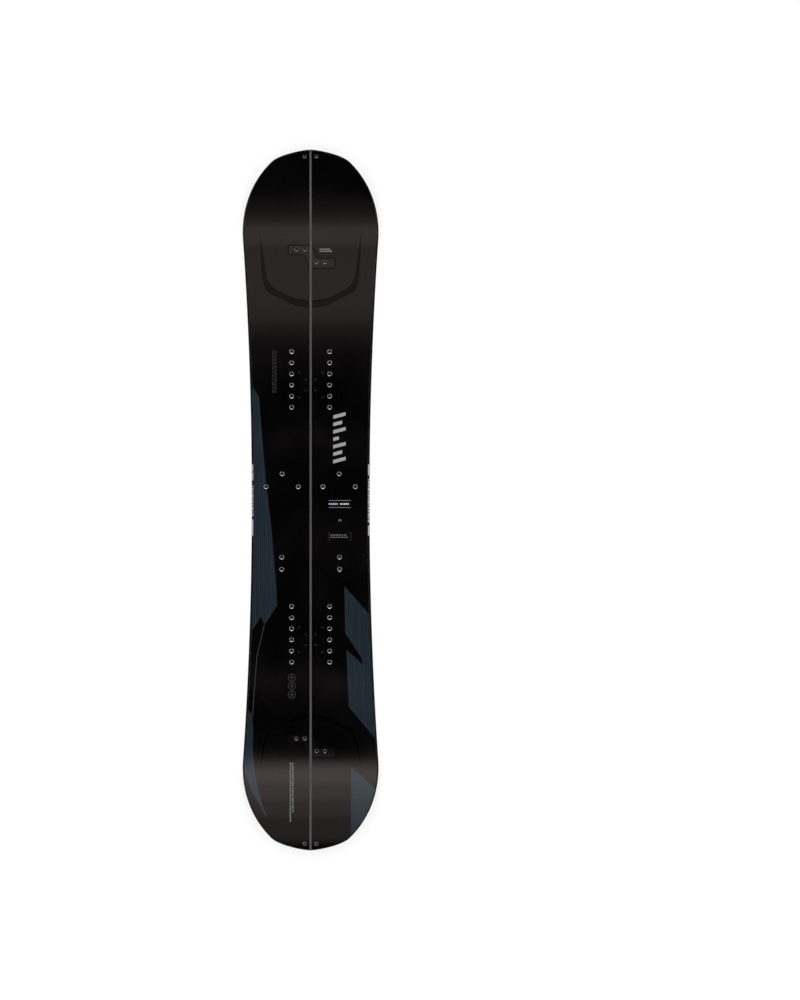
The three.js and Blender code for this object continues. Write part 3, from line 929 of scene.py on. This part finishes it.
def make_lights():
    for name, sign in (("key_left", -1), ("key_right", 1)):
        middle = sign * (KEY_NEAR + KEY_FAR) / 2
        area_light(name, (middle, 0, KEY_UP), (middle, 0, 0), (KEY_FAR - KEY_NEAR, KEY_LONG), KEY_RADIANCE)
    glow = area_light("insert_glow", GLOW_AT, ORIGIN, GLOW_SIZE, GLOW_RADIANCE)
    glow.light_linking.receiver_collection = INSERTS_LIT
    for name, (height, width, bands) in LIGHT_BANKS.items():
        for number, (near, far, radiance) in enumerate(bands):
            middle = (near + far) / 2
            size = (width, far - near)
            area_light(f"{name}_{number}", (0, middle, height), (0, middle, 0), size, radiance)
    area_light("base_fill", BASE_FILL_AT, ORIGIN, BASE_FILL_SIZE, BASE_FILL_RADIANCE)


# The surroundings' brightness by height, from straight down at 0 to straight up at 1.
WORLD_STEPS = ((0.0, 0.85), (0.515, 0.85), (0.55, 0.3), (0.72, 0.2), (0.8, 0.06), (0.88, 0.01), (1.0, 0.003))


def make_world():
    """Pale at eye level and below, and dark overhead."""
    world = bpy.data.worlds.new("studio")
    world.use_nodes = True
    tree = world.node_tree
    nodes, links = tree.nodes, tree.links
    point = nodes.new("ShaderNodeTexCoord")
    split = nodes.new("ShaderNodeSeparateXYZ")
    spread = nodes.new("ShaderNodeMapRange")
    spread.inputs["From Min"].default_value = -1
    ramp = nodes.new("ShaderNodeValToRGB")
    while len(ramp.color_ramp.elements) < len(WORLD_STEPS):
        ramp.color_ramp.elements.new(0.5)
    for element, (place, value) in zip(ramp.color_ramp.elements, WORLD_STEPS):
        element.position = place
        element.color = (value, value, value, 1)
    links.new(point.outputs["Generated"], split.inputs[0])
    links.new(split.outputs[2], spread.inputs[0])
    links.new(spread.outputs[0], ramp.inputs[0])
    links.new(ramp.outputs[0], nodes["Background"].inputs[0])
    bpy.context.scene.world = world


FLOOR_REACH = 80  # metres


def make_floor():
    mesh = bpy.data.meshes.new("floor")
    corners = [(x * FLOOR_REACH, y * FLOOR_REACH, 0) for x, y in ((-1, -1), (1, -1), (1, 1), (-1, 1))]
    mesh.from_pydata(corners, [], [(0, 1, 2, 3)])
    mesh.materials.append(studio_floor())
    floor = bpy.data.objects.new("floor", mesh)
    floor.visible_shadow = False
    bpy.context.scene.collection.objects.link(floor)
    floor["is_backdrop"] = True


bpy.context.scene.view_settings.view_transform = "Standard"
make_camera()
make_lights()
make_world()
make_floor()


# ---------- topsheet art and relief ----------

EDGE_X = 175  # past the board's side

# Slate panels, as corners in board X and Y.
PANELS = (
    ((-EDGE_X, 255.3), (-131.1, 255.3), (-115.9, 231.5), (-108.7, 139.2), (-99.3, 34.4), (-88.7, -55.4),
     (-82.7, -126.3), (-76.8, -202), (-75.2, -237.5), (-104, -279.9), (-111.2, -261.1), (-132.3, -294),
     (-EDGE_X, -336)),
    ((-EDGE_X, -440), (-141.7, -469), (-131.1, -481.5), (-128.7, -520), (-130, -555), (-127.5, -590.6),
     (-122.8, -628.6), (-112.3, -671), (-98.1, -711), (-100.4, -711), (-119.2, -675.7), (-133.6, -649.7),
     (-144.1, -619), (-EDGE_X, -560)),
    ((75.6, -193.7), (133.6, -258.6), (EDGE_X, -304), (EDGE_X, -561), (145.5, -536.5), (85.3, -463.6),
     (80.3, -335.6), (118.1, -370.8), (113.4, -353.1), (77.9, -298.8)),
    ((90.9, -598.9), (145.2, -647.4), (EDGE_X, -674), (EDGE_X, -790), (90.9, -790)),
)
TAPER_LINE = ((-104, -279.9), (-120.6, -351), (-123.9, -393), (-127.5, -440.6), (-130, -483))
TAPER_LINE_WIDTH = 1.3

# The U-shaped grooves round the hooks, as (x, y, rounding) corners of the left half, outer side then inner.
NOSE_GROOVE = (
    ((-112.3, 583.7, 0), (-108.2, 498, 10), (-100.5, 470, 12), (-35, 436.5, 14), (0, 432, 0)),
    ((0, 446.8, 0), (-36, 451, 12), (-88, 477.5, 14), (-99.6, 497, 8)),
)
TAIL_GROOVE = (
    ((-111.2, -588, 0), (-107.5, -545, 10), (-99, -515, 12), (-38, -484.5, 14), (0, -480.3, 0)),
    ((0, -493.8, 0), (-39, -498.5, 12), (-86, -521, 14), (-98.5, -543, 8)),
)
GROOVE_DEPTH = 0.35
GROOVE_RUN = 1.1
GROOVE_SHADE = 1.3  # the painted shade round the groove reaches this far past it

POCKET = (
    (-50.8, 572.1), (5, 572.1), (14, 543.5), (55.4, 543.5),
    (55.4, 519.9), (-4, 519.9), (-14, 550.8), (-50.8, 550.8),
)
POCKET_DEPTH = 0.25
POCKET_CORNER = 5
POCKET_RUN = 0.8
POCKET_SHADE = 1.4  # the painted shade reaches this far to both sides of the pocket's wall


def groove_loop(groove):
    outer, inner = groove
    left = [*inner[1:], *outer[:-1]]
    right = [(-x, y, cut) for x, y, cut in left[::-1]]
    return rounded([inner[0], *left, outer[-1], *right])


def pocket_loop(shift):
    return rounded([(x, y + shift, POCKET_CORNER) for x, y in POCKET])


def dashes(start, end, lengths, gap):
    """Pairs of ends for dashes that repeat a list of lengths from start towards end."""
    place, number = start, 0
    way = 1 if end > start else -1
    while (end - place) * way > lengths[number % len(lengths)]:
        reach = place + way * lengths[number % len(lengths)]
        yield place, reach
        place = reach + way * gap
        number += 1


def dash_column(x, width, start, end, lengths, gap):
    """Upright dashes in a column, from start towards end."""
    for first, second in dashes(start, end, lengths, gap):
        yield bar(x, min(first, second), x + width, max(first, second))


def dash_row(y, thick, start, end, lengths, gap):
    """Dashes side by side in a row."""
    for low, high in dashes(start, end, lengths, gap):
        yield bar(low, y - thick / 2, high, y + thick / 2)


BAR_SHARES = (1, 0.72, 1, 0.45)  # how much of the column's width each bar in turn fills
BAR_THICK = 0.47  # of the bars' pitch


def speed_bars(x0, x1, y0, y1, count, lean):
    """A column of slanted bars between two heights."""
    pitch = (y1 - y0) / count
    thick = BAR_THICK * pitch
    for number in range(count):
        y = y1 - number * pitch
        reach = x0 + (x1 - x0) * BAR_SHARES[number % len(BAR_SHARES)]
        skew = lean * (reach - x0) / (x1 - x0)
        yield np.array(((x0, y - thick), (reach, y - thick + skew), (reach, y + skew), (x0, y)))


def chevron(x, y, size, width):
    """Two short strokes that meet in a point."""
    return [stroke((x, y + up * size), (x + size, y), width) for up in (-1, 1)]


def corner_marks(x0, y0, x1, y1, arm, width):
    """Small brackets round a box."""
    for x, way in ((x0, 1), (x1, -1)):
        yield stroke((x, y0), (x, y1), width)
        for y in (y0, y1):
            yield stroke((x, y), (x + way * arm, y), width)


# Reference ticks round the middle of an insert pack, as (x, y, x, y, width) strokes of one quarter.
TICKS = ((8.6, 9.4, 13.6, 14.2, 1.9), (29, 25.9, 24.4, 29.7, 2.2))
TICK_ROWS = (258.1, -313.9)


def tick_marks(centre_y):
    for side in (-1, 1):
        for up in (-1, 1):
            for x0, y0, x1, y1, width in TICKS:
                yield stroke((side * x0, centre_y + up * y0), (side * x1, centre_y + up * y1), width)


# The printed marks in board X and Y. Dashes repeat a list of lengths, with the same gap after each.
SPEED_BARS = (50.7, 78.6, 73.2, 190, 7, 7.5)  # from and to in X, from and to in Y, count and lean
DIM_COLUMNS = ((-86.3, (7, 4.5, 9, 5.5)), (-80.7, (4, 8, 5, 6.5)))
DIM_WIDTH, DIM_START, DIM_END, DIM_GAP = 4.2, 241, 336, 2.2
RULE_ROWS = (-1.1, -16.8)
RULE_ENDS = (40.4, 58, 89.8)  # blue as far as the second, grey as far as the third
RULE_THICK = 1.4
BLOCK_Y, BLOCK_THICK, BLOCK_DASHES, BLOCK_GAP = -9, 3.6, (3.2, 2.2, 3.8), 1.3
BLOCK_ENDS = (("frost", 41, 63.5), ("bright", 66, 90.5))
CHEVRONS_X, CHEVRON_Y, CHEVRON_SIZE, CHEVRON_WIDTH = (62.5, 66.5), -45.5, 2.6, 1.1
BRACKET_BOX, BRACKET_ARM, BRACKET_WIDTH = (40.8, -90, 90.1, -72.5), 3, 0.8
NOTE_ROWS = ((-78.6, (5, 3.2, 6.4)), (-83.6, (4, 6, 3)))
NOTE_START, NOTE_END, NOTE_THICK, NOTE_GAP = 44, 87, 1.6, 1.6
RING_X, RING_ROWS, RING_RADIUS, RING_WIDTH, RING_SIDES = -42.5, (-398.5, -417.8, -437.1), 8.6, 1.2, 24
RING_CROSS = ((-4.5, -0.8, 4.5, 0.8), (-0.8, -5, 0.8, 5))  # the cross in a ring, from the ring's middle
TAIL_COLUMNS = ((-46.5, -722, (9, 5, 12, 7)), (-41, -706, (6, 11, 4, 8)))
TAIL_WIDTH, TAIL_START, TAIL_GAP = 2.6, -589, 1.5
NOSE_RULES = ((20, 561.7, 43.8, 564.2), (20, 557, 48.2, 559.6))


def topsheet_areas():
    """Every printed area of the topsheet in board X and Y, as (loop, kind) pairs, lowest first."""
    areas = []

    def put(kind, loops):
        areas.extend((loop, kind) for loop in loops)

    put("panel", PANELS)
    put("line", (stroke(a, b, TAPER_LINE_WIDTH) for a, b in zip(TAPER_LINE, TAPER_LINE[1:])))
    put("pale", speed_bars(*SPEED_BARS))
    for x, lengths in DIM_COLUMNS:
        put("dim", dash_column(x, DIM_WIDTH, DIM_START, DIM_END, lengths, DIM_GAP))
    for y in RULE_ROWS:
        for kind, low, high in zip(("blue", "mid"), RULE_ENDS, RULE_ENDS[1:]):
            put(kind, [bar(low, y - RULE_THICK / 2, high, y + RULE_THICK / 2)])
    for kind, start, end in BLOCK_ENDS:
        put(kind, dash_row(BLOCK_Y, BLOCK_THICK, start, end, BLOCK_DASHES, BLOCK_GAP))
    for x in CHEVRONS_X:
        put("mid", chevron(x, CHEVRON_Y, CHEVRON_SIZE, CHEVRON_WIDTH))
    put("line", corner_marks(*BRACKET_BOX, BRACKET_ARM, BRACKET_WIDTH))
    for y, lengths in NOTE_ROWS:
        put("mid", dash_row(y, NOTE_THICK, NOTE_START, NOTE_END, lengths, NOTE_GAP))
    for y in RING_ROWS:
        put("line", [circle(RING_X, y, RING_RADIUS, RING_SIDES)])
        put("satin", [circle(RING_X, y, RING_RADIUS - RING_WIDTH, RING_SIDES)])
        put("line", (bar(RING_X + x0, y + y0, RING_X + x1, y + y1) for x0, y0, x1, y1 in RING_CROSS))
    for x, end, lengths in TAIL_COLUMNS:
        put("mid", dash_column(x, TAIL_WIDTH, TAIL_START, end, lengths, TAIL_GAP))
    put("mid", (bar(*rule) for rule in NOSE_RULES))
    for y in TICK_ROWS:
        put("dim", tick_marks(y))
    return areas


# ---------- inserts ----------

def box_mm(node):
    low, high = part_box(node)
    return np.array(low) / MM, np.array(high) / MM


def insert_depth(y):
    slope = slope_of(over_base(top_face), y)
    return (core_thickness(y) + TOP_STACK) * math.cos(math.atan(slope)) - BOND


def seat_of(node, kind):
    """Where an insert's axis meets the topsheet, from its CAD box. A tilt moves its lower foot along Y."""
    low, high = box_mm(node)
    x, foot_y = (low[0] + high[0]) / 2, (low[1] + high[1]) / 2
    tilt = math.atan(slope_of(over_base(top_face), foot_y))
    return x, foot_y - (insert_depth(foot_y) - kind["flange_thickness"] / 2) * math.sin(tilt)


def seated(vertices, x, y):
    """Vertices in an insert's own frame, put square to the topsheet at x, y."""
    tilt = math.atan(slope_of(over_base(top_face), y))
    local = np.asarray(vertices, float)
    turned = np.column_stack((
        local[:, 0],
        local[:, 1] * math.cos(tilt) - local[:, 2] * math.sin(tilt),
        local[:, 1] * math.sin(tilt) + local[:, 2] * math.cos(tilt)))
    return turned + (x, y, float(over_base(top_face)(y)))


RIM_SEGMENTS = 32
# The rim's section from its outer wall to the bore, as (way in, drop) in shares of the wall's thickness.
INSERT_RIM = (
    (0.0, 0.42), (0.13, 0.06), (0.17, 0.01), (0.22, 0), (0.32, 0.04), (0.46, 0.14), (0.65, 0.3),
    (0.8, 0.45), (1.0, 0.8),
)
# The thread is a stack of rings. Each one's depth, and where its crest ends, as shares of the pitch.
THREAD_DEPTH = 0.45
THREAD_CREST_END = 0.6
# The hole left under the last ring, and the step and slope of the drilled hole's end, in millimetres.
THREAD_STOP = 0.6
DRILL_STEP, DRILL_SLOPE = 0.5, 0.3


def insert_profile(kind, y, flange):
    """Half section of a turned insert: flange, barrel, domed rim, countersink, thread and drill point."""
    foot = -insert_depth(y)
    shoulder = foot + kind["flange_thickness"]
    floor = (shoulder if flange == kind["barrel"] else foot) + INSERT_FLOOR
    barrel, bore = kind["barrel"], kind["bore"]
    width = barrel - bore
    dome = [(barrel - width * share, -INSERT_SINK - width * drop) for share, drop in INSERT_RIM]
    thread = []
    pitch = kind["pitch"]
    z = dome[-1][1]
    crest = bore - THREAD_DEPTH * pitch
    while z - pitch > floor + THREAD_STOP:
        thread += [(crest, z - share * pitch) for share in (THREAD_DEPTH, THREAD_CREST_END)]
        thread.append((bore, z - pitch))
        z -= pitch
    drill = [(bore - DRILL_STEP, z - DRILL_SLOPE), (bore - DRILL_STEP, floor + DRILL_SLOPE), (0, floor)]
    base = [(0, foot), (flange, foot)]
    if flange > barrel:
        base += [(flange, shoulder), (barrel, shoulder)]
    return base + dome, thread + drill


def turned_insert(kind, x, y, flange):
    """An insert in place, as vertices, faces and each face's material, which is 1 inside the thread."""
    outside, inside = insert_profile(kind, y, flange)
    vertices, faces = lathe(outside + inside, RIM_SEGMENTS)
    kinds = [0] * (len(outside) - 1) + [1] * len(inside)
    return seated(vertices, x, y), faces, kinds * RIM_SEGMENTS


STRIP_END_POINTS = 13


def strip_plate(x, rows, foot):
    """The flat strip under a column of barrels, with round ends."""
    outline = []
    for centre, start in ((rows[-1], 0), (rows[0], math.pi)):
        for angle in np.linspace(start, start + math.pi, STRIP_END_POINTS):
            outline.append((x + STRIP_END * math.cos(angle), centre + STRIP_END * math.sin(angle)))
    outline = np.array(outline)
    count = len(outline)
    layers = [np.column_stack((outline, np.full(count, z))) for z in (foot, foot + M6["flange_thickness"])]
    faces = [tuple(range(count))[::-1], tuple(range(count, 2 * count))]
    faces += [(k, (k + 1) % count, (k + 1) % count + count, k + count) for k in range(count)]
    return np.vstack(layers), faces, [0] * len(faces)


HOLES = {"left": [], "right": []}


def insert_object(node, kind, shape):
    vertices, faces, kinds = shape
    obj = make_object(node, vertices, faces, [INSERT_STEEL[kind["thread"]], INSERT_THREAD_SHADED], kinds)
    INSERTS_LIT.objects.link(obj)
    return obj


def add_inserts(hand):
    """The inserts of one half, and the (distance from the seam, y, radius) holes that they need."""
    side = SIDES[hand]
    for end in ("nose", "tail"):
        node = f"binding_insert_strip_{end}_{hand}"
        low, high = box_mm(node)
        x = (low[0] + high[0]) / 2
        rows = np.linspace(low[1] + STRIP_END, high[1] - STRIP_END, PACK_ROWS)
        middle = (rows[0] + rows[-1]) / 2
        foot = float(over_base(top_face)(middle)) - insert_depth(middle)
        parts = [turned_insert(M6, x, y, M6["barrel"]) for y in rows] + [strip_plate(x, rows, foot)]
        finished(insert_object(node, M6, joined(parts)), hand)
        HOLES[hand] += [(side * x, y, M6["barrel"]) for y in rows]
    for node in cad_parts:
        if "_insert_" not in node or "strip" in node or not node.endswith(hand):
            continue
        kind = M5 if node.startswith(("hook", "tip")) else M6
        x, y = seat_of(node, kind)
        finished(insert_object(node, kind, turned_insert(kind, x, y, kind["flange"])), hand)
        HOLES[hand].append((side * x, y, kind["barrel"]))


# ---------- layers ----------

HOLE_LIP = 0.7
HOLE_LIP_DROP = 0.22
TOPSHEET_CHAMFER = 0.12


def hole_loops(hand, depth, extra=0):
    """Round holes for the insert barrels, where they cross a layer at a depth under the topsheet's face."""
    loops = []
    for x, y, radius in HOLES[hand]:
        tilt = math.atan(slope_of(over_base(top_face), y))
        loops.append(circle(x, y + depth * math.sin(tilt), radius + INSERT_CLEARANCE + extra))
    return loops


def topsheet_relief(hand):
    """A function for the recesses' depth at one half's plan points, the satin finishes in and round them,
    with painted shade on their rims and creases, and the lips of the insert holes, which get painted shade."""
    side = SIDES[hand]
    grooves = [groove_loop(groove) for groove in (NOSE_GROOVE, TAIL_GROOVE)]
    pockets = [pocket_loop(shift) for shift in (0, HOOK_SHIFT)]
    lips = [(np.array((x, y)), radius + INSERT_CLEARANCE + HOLE_LIP) for x, y, radius in HOLES[hand]]

    def shift(places):
        board = places * (side, 1)
        total = np.zeros(len(places))
        for loops, depth, run in ((grooves, GROOVE_DEPTH, GROOVE_RUN), (pockets, POCKET_DEPTH, POCKET_RUN)):
            for loop in loops:
                total -= depth * np.clip(depth_inside(loop, board) / run, 0, 1)
        for centre, reach in lips:
            away = np.linalg.norm(places - centre, axis=1)
            total -= HOLE_LIP_DROP * np.clip((reach - away) / HOLE_LIP, 0, 1)
        return total

    pocket_floor = ((POCKET_RUN, "wall"), (POCKET_RUN + POCKET_SHADE, "pocket"))
    # Rings of satin that throw back less light: painted shade on each recess's rim and crease, and deeper
    # painted shade all through the tail's groove and on the tail pocket's crease.
    steps = (
        (grooves[:1], (-GROOVE_SHADE, "wall"), (0, "crease"), (GROOVE_RUN, "matt")),
        (grooves[1:], (-GROOVE_SHADE, "wall"), (0, "deep"), (GROOVE_RUN, "deep")),
        (pockets[:1], (-POCKET_SHADE, "wall"), (0, "crease"), *pocket_floor),
        (pockets[1:], (-POCKET_SHADE, "wall"), (0, "deep"), *pocket_floor),
    )
    finishes = [(shrunk(loop, distance) * (side, 1), kind)
                for loops, *rings in steps for distance, kind in rings for loop in loops]
    return shift, finishes, [(circle(*centre, reach), "crease") for centre, reach in lips]


def add_topsheet(hand):
    side = SIDES[hand]
    shift, finishes, lips = topsheet_relief(hand)
    border = half_border(lambda y: top_inset(y) + TOPSHEET_CHAMFER, SEAM + EDGE_WIDTH + TOPSHEET_CHAMFER)
    printed = [(np.asarray(loop, float) * (side, 1), kind) for loop, kind in topsheet_areas()]
    on_half = [(loop, kind) for loop, kind in finishes + printed if loop[:, 0].max() > 0]
    areas = [(loop, TOP_ORDER.index(kind)) for loop, kind in on_half + lips]
    slab("topsheet", hand, border, hole_loops(hand, 0),
         over_base(lambda y: top_face(y) - TOPSHEET), over_base(top_face), list(TOP_LOOKS.values()),
         areas, shift, TOPSHEET_CHAMFER, level(BEVEL * TOPSHEET), TOP_ORDER.index("cut"))


# The bar graphic on the left half of the base: from and to in X, from and to in Y, count and lean.
BASE_BARS = (31.3, 105.4, 211, 540, 9, 20)


def add_base(hand):
    border = half_border(level(EDGE_WIDTH + BOND), SEAM + EDGE_WIDTH + BOND)
    low, high = over_base(level(0)), over_base(level(BASE))
    art = list(speed_bars(*BASE_BARS)) if hand == "left" else []
    base_slab("base_sheet", hand, border, shrunk(INLAY, -BOND), False, low, high,
              [BASE_BLACK, BASE_GREY], art)
    base_slab("base_inlay", hand, border, shrunk(INLAY, 0), True, low, high, [BASE_RED], [])


INLAY = (
    (EDGE_X, -62.4), (127.4, -62.4), (108.8, -53.6), (73.8, -107), (78.9, -241.1), (114.4, -198.9),
    (114.8, -209.2), (78.9, -280.1), (84.8, -407.2), (124.3, -360.3), (124, -369.5), (85.2, -442.7),
    (94.4, -686.1), (149.2, -601.4), (EDGE_X, -601.4),
)


def base_slab(node, hand, border, inlay, inside, low, high, materials, art):
    """The base inside or outside the inlay's outline, with art in its second material on the underside."""
    points, triangles, labels = triangulate(border, [], [inlay, *art])
    keep = (labels == 0) if inside else (labels != 0)
    triangles, labels = triangles[keep], labels[keep]
    used, triangles = np.unique(triangles, return_inverse=True)
    points, triangles = points[used], triangles.reshape(-1, 3)
    count = len(points)
    vertices = np.vstack([np.column_stack((points, height(points[:, 1]))) for height in (high, low)])
    faces = [tuple(triangle) for triangle in triangles]
    faces += [tuple(triangle[::-1] + count) for triangle in triangles]
    walls = [(a + count, b + count, b, a) for a, b in outer_edges(triangles)]
    kinds = [0] * len(triangles) + [int(label > 0) for label in labels] + [0] * len(walls)
    normals = layer_normals(points, triangles, high, no_relief, low)
    add_layer(node, hand, vertices, faces + walls, materials, kinds, normals)


def add_laminates(hand):
    border = half_border(level(EDGE_WIDTH + BOND), SEAM + EDGE_WIDTH + BOND)
    slab("lower_laminate", hand, border, [], over_base(level(BASE + BOND)),
         over_base(level(EDGE_HEIGHT)), [GLASS, GLASS_CUT], wall=1)
    border = half_border(lambda y: top_inset(y) - BEVEL * (BOND + TOPSHEET), SEAM + EDGE_WIDTH)
    slab("upper_laminate", hand, border, hole_loops(hand, BOND + TOPSHEET),
         over_base(lambda y: core_top(y) + BOND), over_base(lambda y: core_top(y) + BOND + LAMINATE),
         [GLASS, GLASS_CUT], lean=level(BEVEL * LAMINATE), wall=1)


SPACER_HOLE_ROOM = 0.4  # past the usual clearance round a barrel


def add_spacers(hand):
    """The ABS fillers past the ends of the wood core. Their outer wall leans on from the sidewall's."""
    seam = SEAM + INNER_SIDEWALL + PART_GAP
    whole = half_border(lambda y: SIDEWALL_INSET + BEVEL * core_thickness(y), seam)
    start = SPACER_START + PART_GAP
    for end, sign in (("nose", 1), ("tail", -1)):
        beyond = whole[whole[:, 1] * sign > start]
        nose_half = whole[whole[:, 1] > 0]
        edge_x = np.interp(start, nose_half[:, 1], nose_half[:, 0])
        ends = [(edge_x, sign * start), (seam, sign * start)]
        border = np.vstack((beyond, ends[::-sign]))
        holes = [loop for loop in hole_loops(hand, TOP_STACK, SPACER_HOLE_ROOM)
                 if (loop[:, 1] * sign).min() > start]
        slab(f"{end}_spacer", hand, border, holes, over_base(level(CORE_FLOOR)),
             over_base(core_top), [SPACER_BLACK], lean=lambda y: BEVEL * core_thickness(y))


# ---------- edges and sidewalls ----------

def rail(inset_at, height_at, shares, **clip):
    """A line along the right side at an inset and a height over the base's underside."""
    line = SIDE.inset(inset_at)
    start, end = SIDE.ends(line, **clip)
    points = SIDE.at(line, start + (end - start) * shares)
    return np.column_stack((points, over_base(height_at)(points[:, 1])))


EDGE_ROUND = 0.25
EDGE_BREAK = 0.07  # the point halfway round a rounded corner
ROLLED_FROM = 4  # the faces of the section from here on are as rolled


def add_outer_edge(hand):
    start, end = SIDE.ends(SIDE.points, seam=SEAM_FACE)
    shares = shares_along(start, end)
    section = ((EDGE_WIDTH, 0), (EDGE_ROUND, 0), (EDGE_BREAK, EDGE_BREAK), (0, EDGE_ROUND),
               (0, EDGE_HEIGHT - EDGE_ROUND), (EDGE_ROUND, EDGE_HEIGHT), (EDGE_WIDTH, EDGE_HEIGHT))
    rails = [rail(level(inset), level(height), shares, seam=SEAM_FACE) for inset, height in section]
    add_bar("edge_outer", hand, rails, [STEEL, ROLLED_STEEL], True,
            lambda station, index: int(index >= ROLLED_FROM))


SEAM_END = HALF_LENGTH - EDGE_WIDTH - 2 * BOND
SEAM_STEP = 9


def seam_rails(section):
    """Straight rails along the seam from (x, height function) pairs."""
    y = np.linspace(-SEAM_END, SEAM_END, 2 * round(SEAM_END / SEAM_STEP) + 1)
    return [np.column_stack((np.full(len(y), x), y, over_base(height_at)(y))) for x, height_at in section]


def add_inner_edge(hand):
    far = SEAM + EDGE_WIDTH
    section = ((far, 0), (SEAM_FACE + EDGE_ROUND, 0), (SEAM_FACE + EDGE_BREAK, EDGE_BREAK),
               (SEAM_FACE, EDGE_ROUND), (SEAM_FACE, EDGE_HEIGHT), (far, EDGE_HEIGHT))
    rails = seam_rails([(x, level(height)) for x, height in section])
    add_bar("edge_inner", hand, rails, [STEEL])


SEAM_CHAMFER = 0.4


def add_inner_sidewall(hand):
    far = SEAM + INNER_SIDEWALL
    section = ((far, level(CORE_FLOOR)), (SEAM_FACE, level(CORE_FLOOR)),
               (SEAM_FACE, lambda y: core_top(y) - SEAM_CHAMFER), (SEAM_FACE + SEAM_CHAMFER, core_top),
               (far, core_top))
    add_bar("sidewall_inner", hand, seam_rails(section), [SIDEWALL_GREY])


# Printed marks on the outer sidewalls, as (from, to) in Y: solid ends and a run of dashes between.
SIDE_DASHES, SIDE_GAP = (5.5, 3.2, 7.5, 4.2), 2.1
SIDE_MARKS = {
    "left": [(-80, -44), *dashes(-36, 40, SIDE_DASHES, SIDE_GAP), (44, 62), (64, 80)],
    "right": [(-80, -57), *dashes(-50, 50, SIDE_DASHES, SIDE_GAP), (55, 80)],
}
MARK_LOW, MARK_HIGH = 0.03, 0.8  # the marks' share of the way up the leaning wall
MARK_FACE = 2  # the face of the section between those two heights


def add_outer_sidewall(hand):
    marks = SIDE_MARKS[hand]
    stops = [y for mark in marks for y in mark]
    outer = level(SIDEWALL_INSET)
    start, end = SIDE.ends(SIDE.inset(outer), stop_y=SPACER_START)
    shares = shares_along(start, end, stops)
    inner = level(SIDEWALL_INSET + SIDEWALL_WIDTH)
    section = [(inner, level(CORE_FLOOR)), (outer, level(CORE_FLOOR))]
    for share in (MARK_LOW, MARK_HIGH, 1):
        section.append((
            lambda y, share=share: SIDEWALL_INSET + BEVEL * share * core_thickness(y),
            lambda y, share=share: CORE_FLOOR + share * core_thickness(y)))
    section.append((inner, core_top))
    rails = [rail(inset_at, height_at, shares, stop_y=SPACER_START) for inset_at, height_at in section]
    middles = (rails[2][1:, 1] + rails[2][:-1, 1]) / 2
    printed = [any(low < y < high for low, high in marks) for y in middles]
    add_bar("sidewall_outer", hand, rails, [SIDEWALL_BLACK, SIDEWALL_INK], True,
            lambda station, index: int(index == MARK_FACE and printed[station]))


# ---------- the board ----------

for hand in SIDES:
    add_inserts(hand)
    add_base(hand)
    add_outer_edge(hand)
    add_inner_edge(hand)
    add_laminates(hand)
    add_outer_sidewall(hand)
    add_inner_sidewall(hand)
    add_spacers(hand)
    add_topsheet(hand)
    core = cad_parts[f"wood_core_{hand}"]
    core.data.materials.clear()
    core.data.materials.append(WOOD)

boxes = {"cad": CAD_BOX, "visual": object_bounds()}
{name: [list(corner) for corner in box] for name, box in boxes.items()}
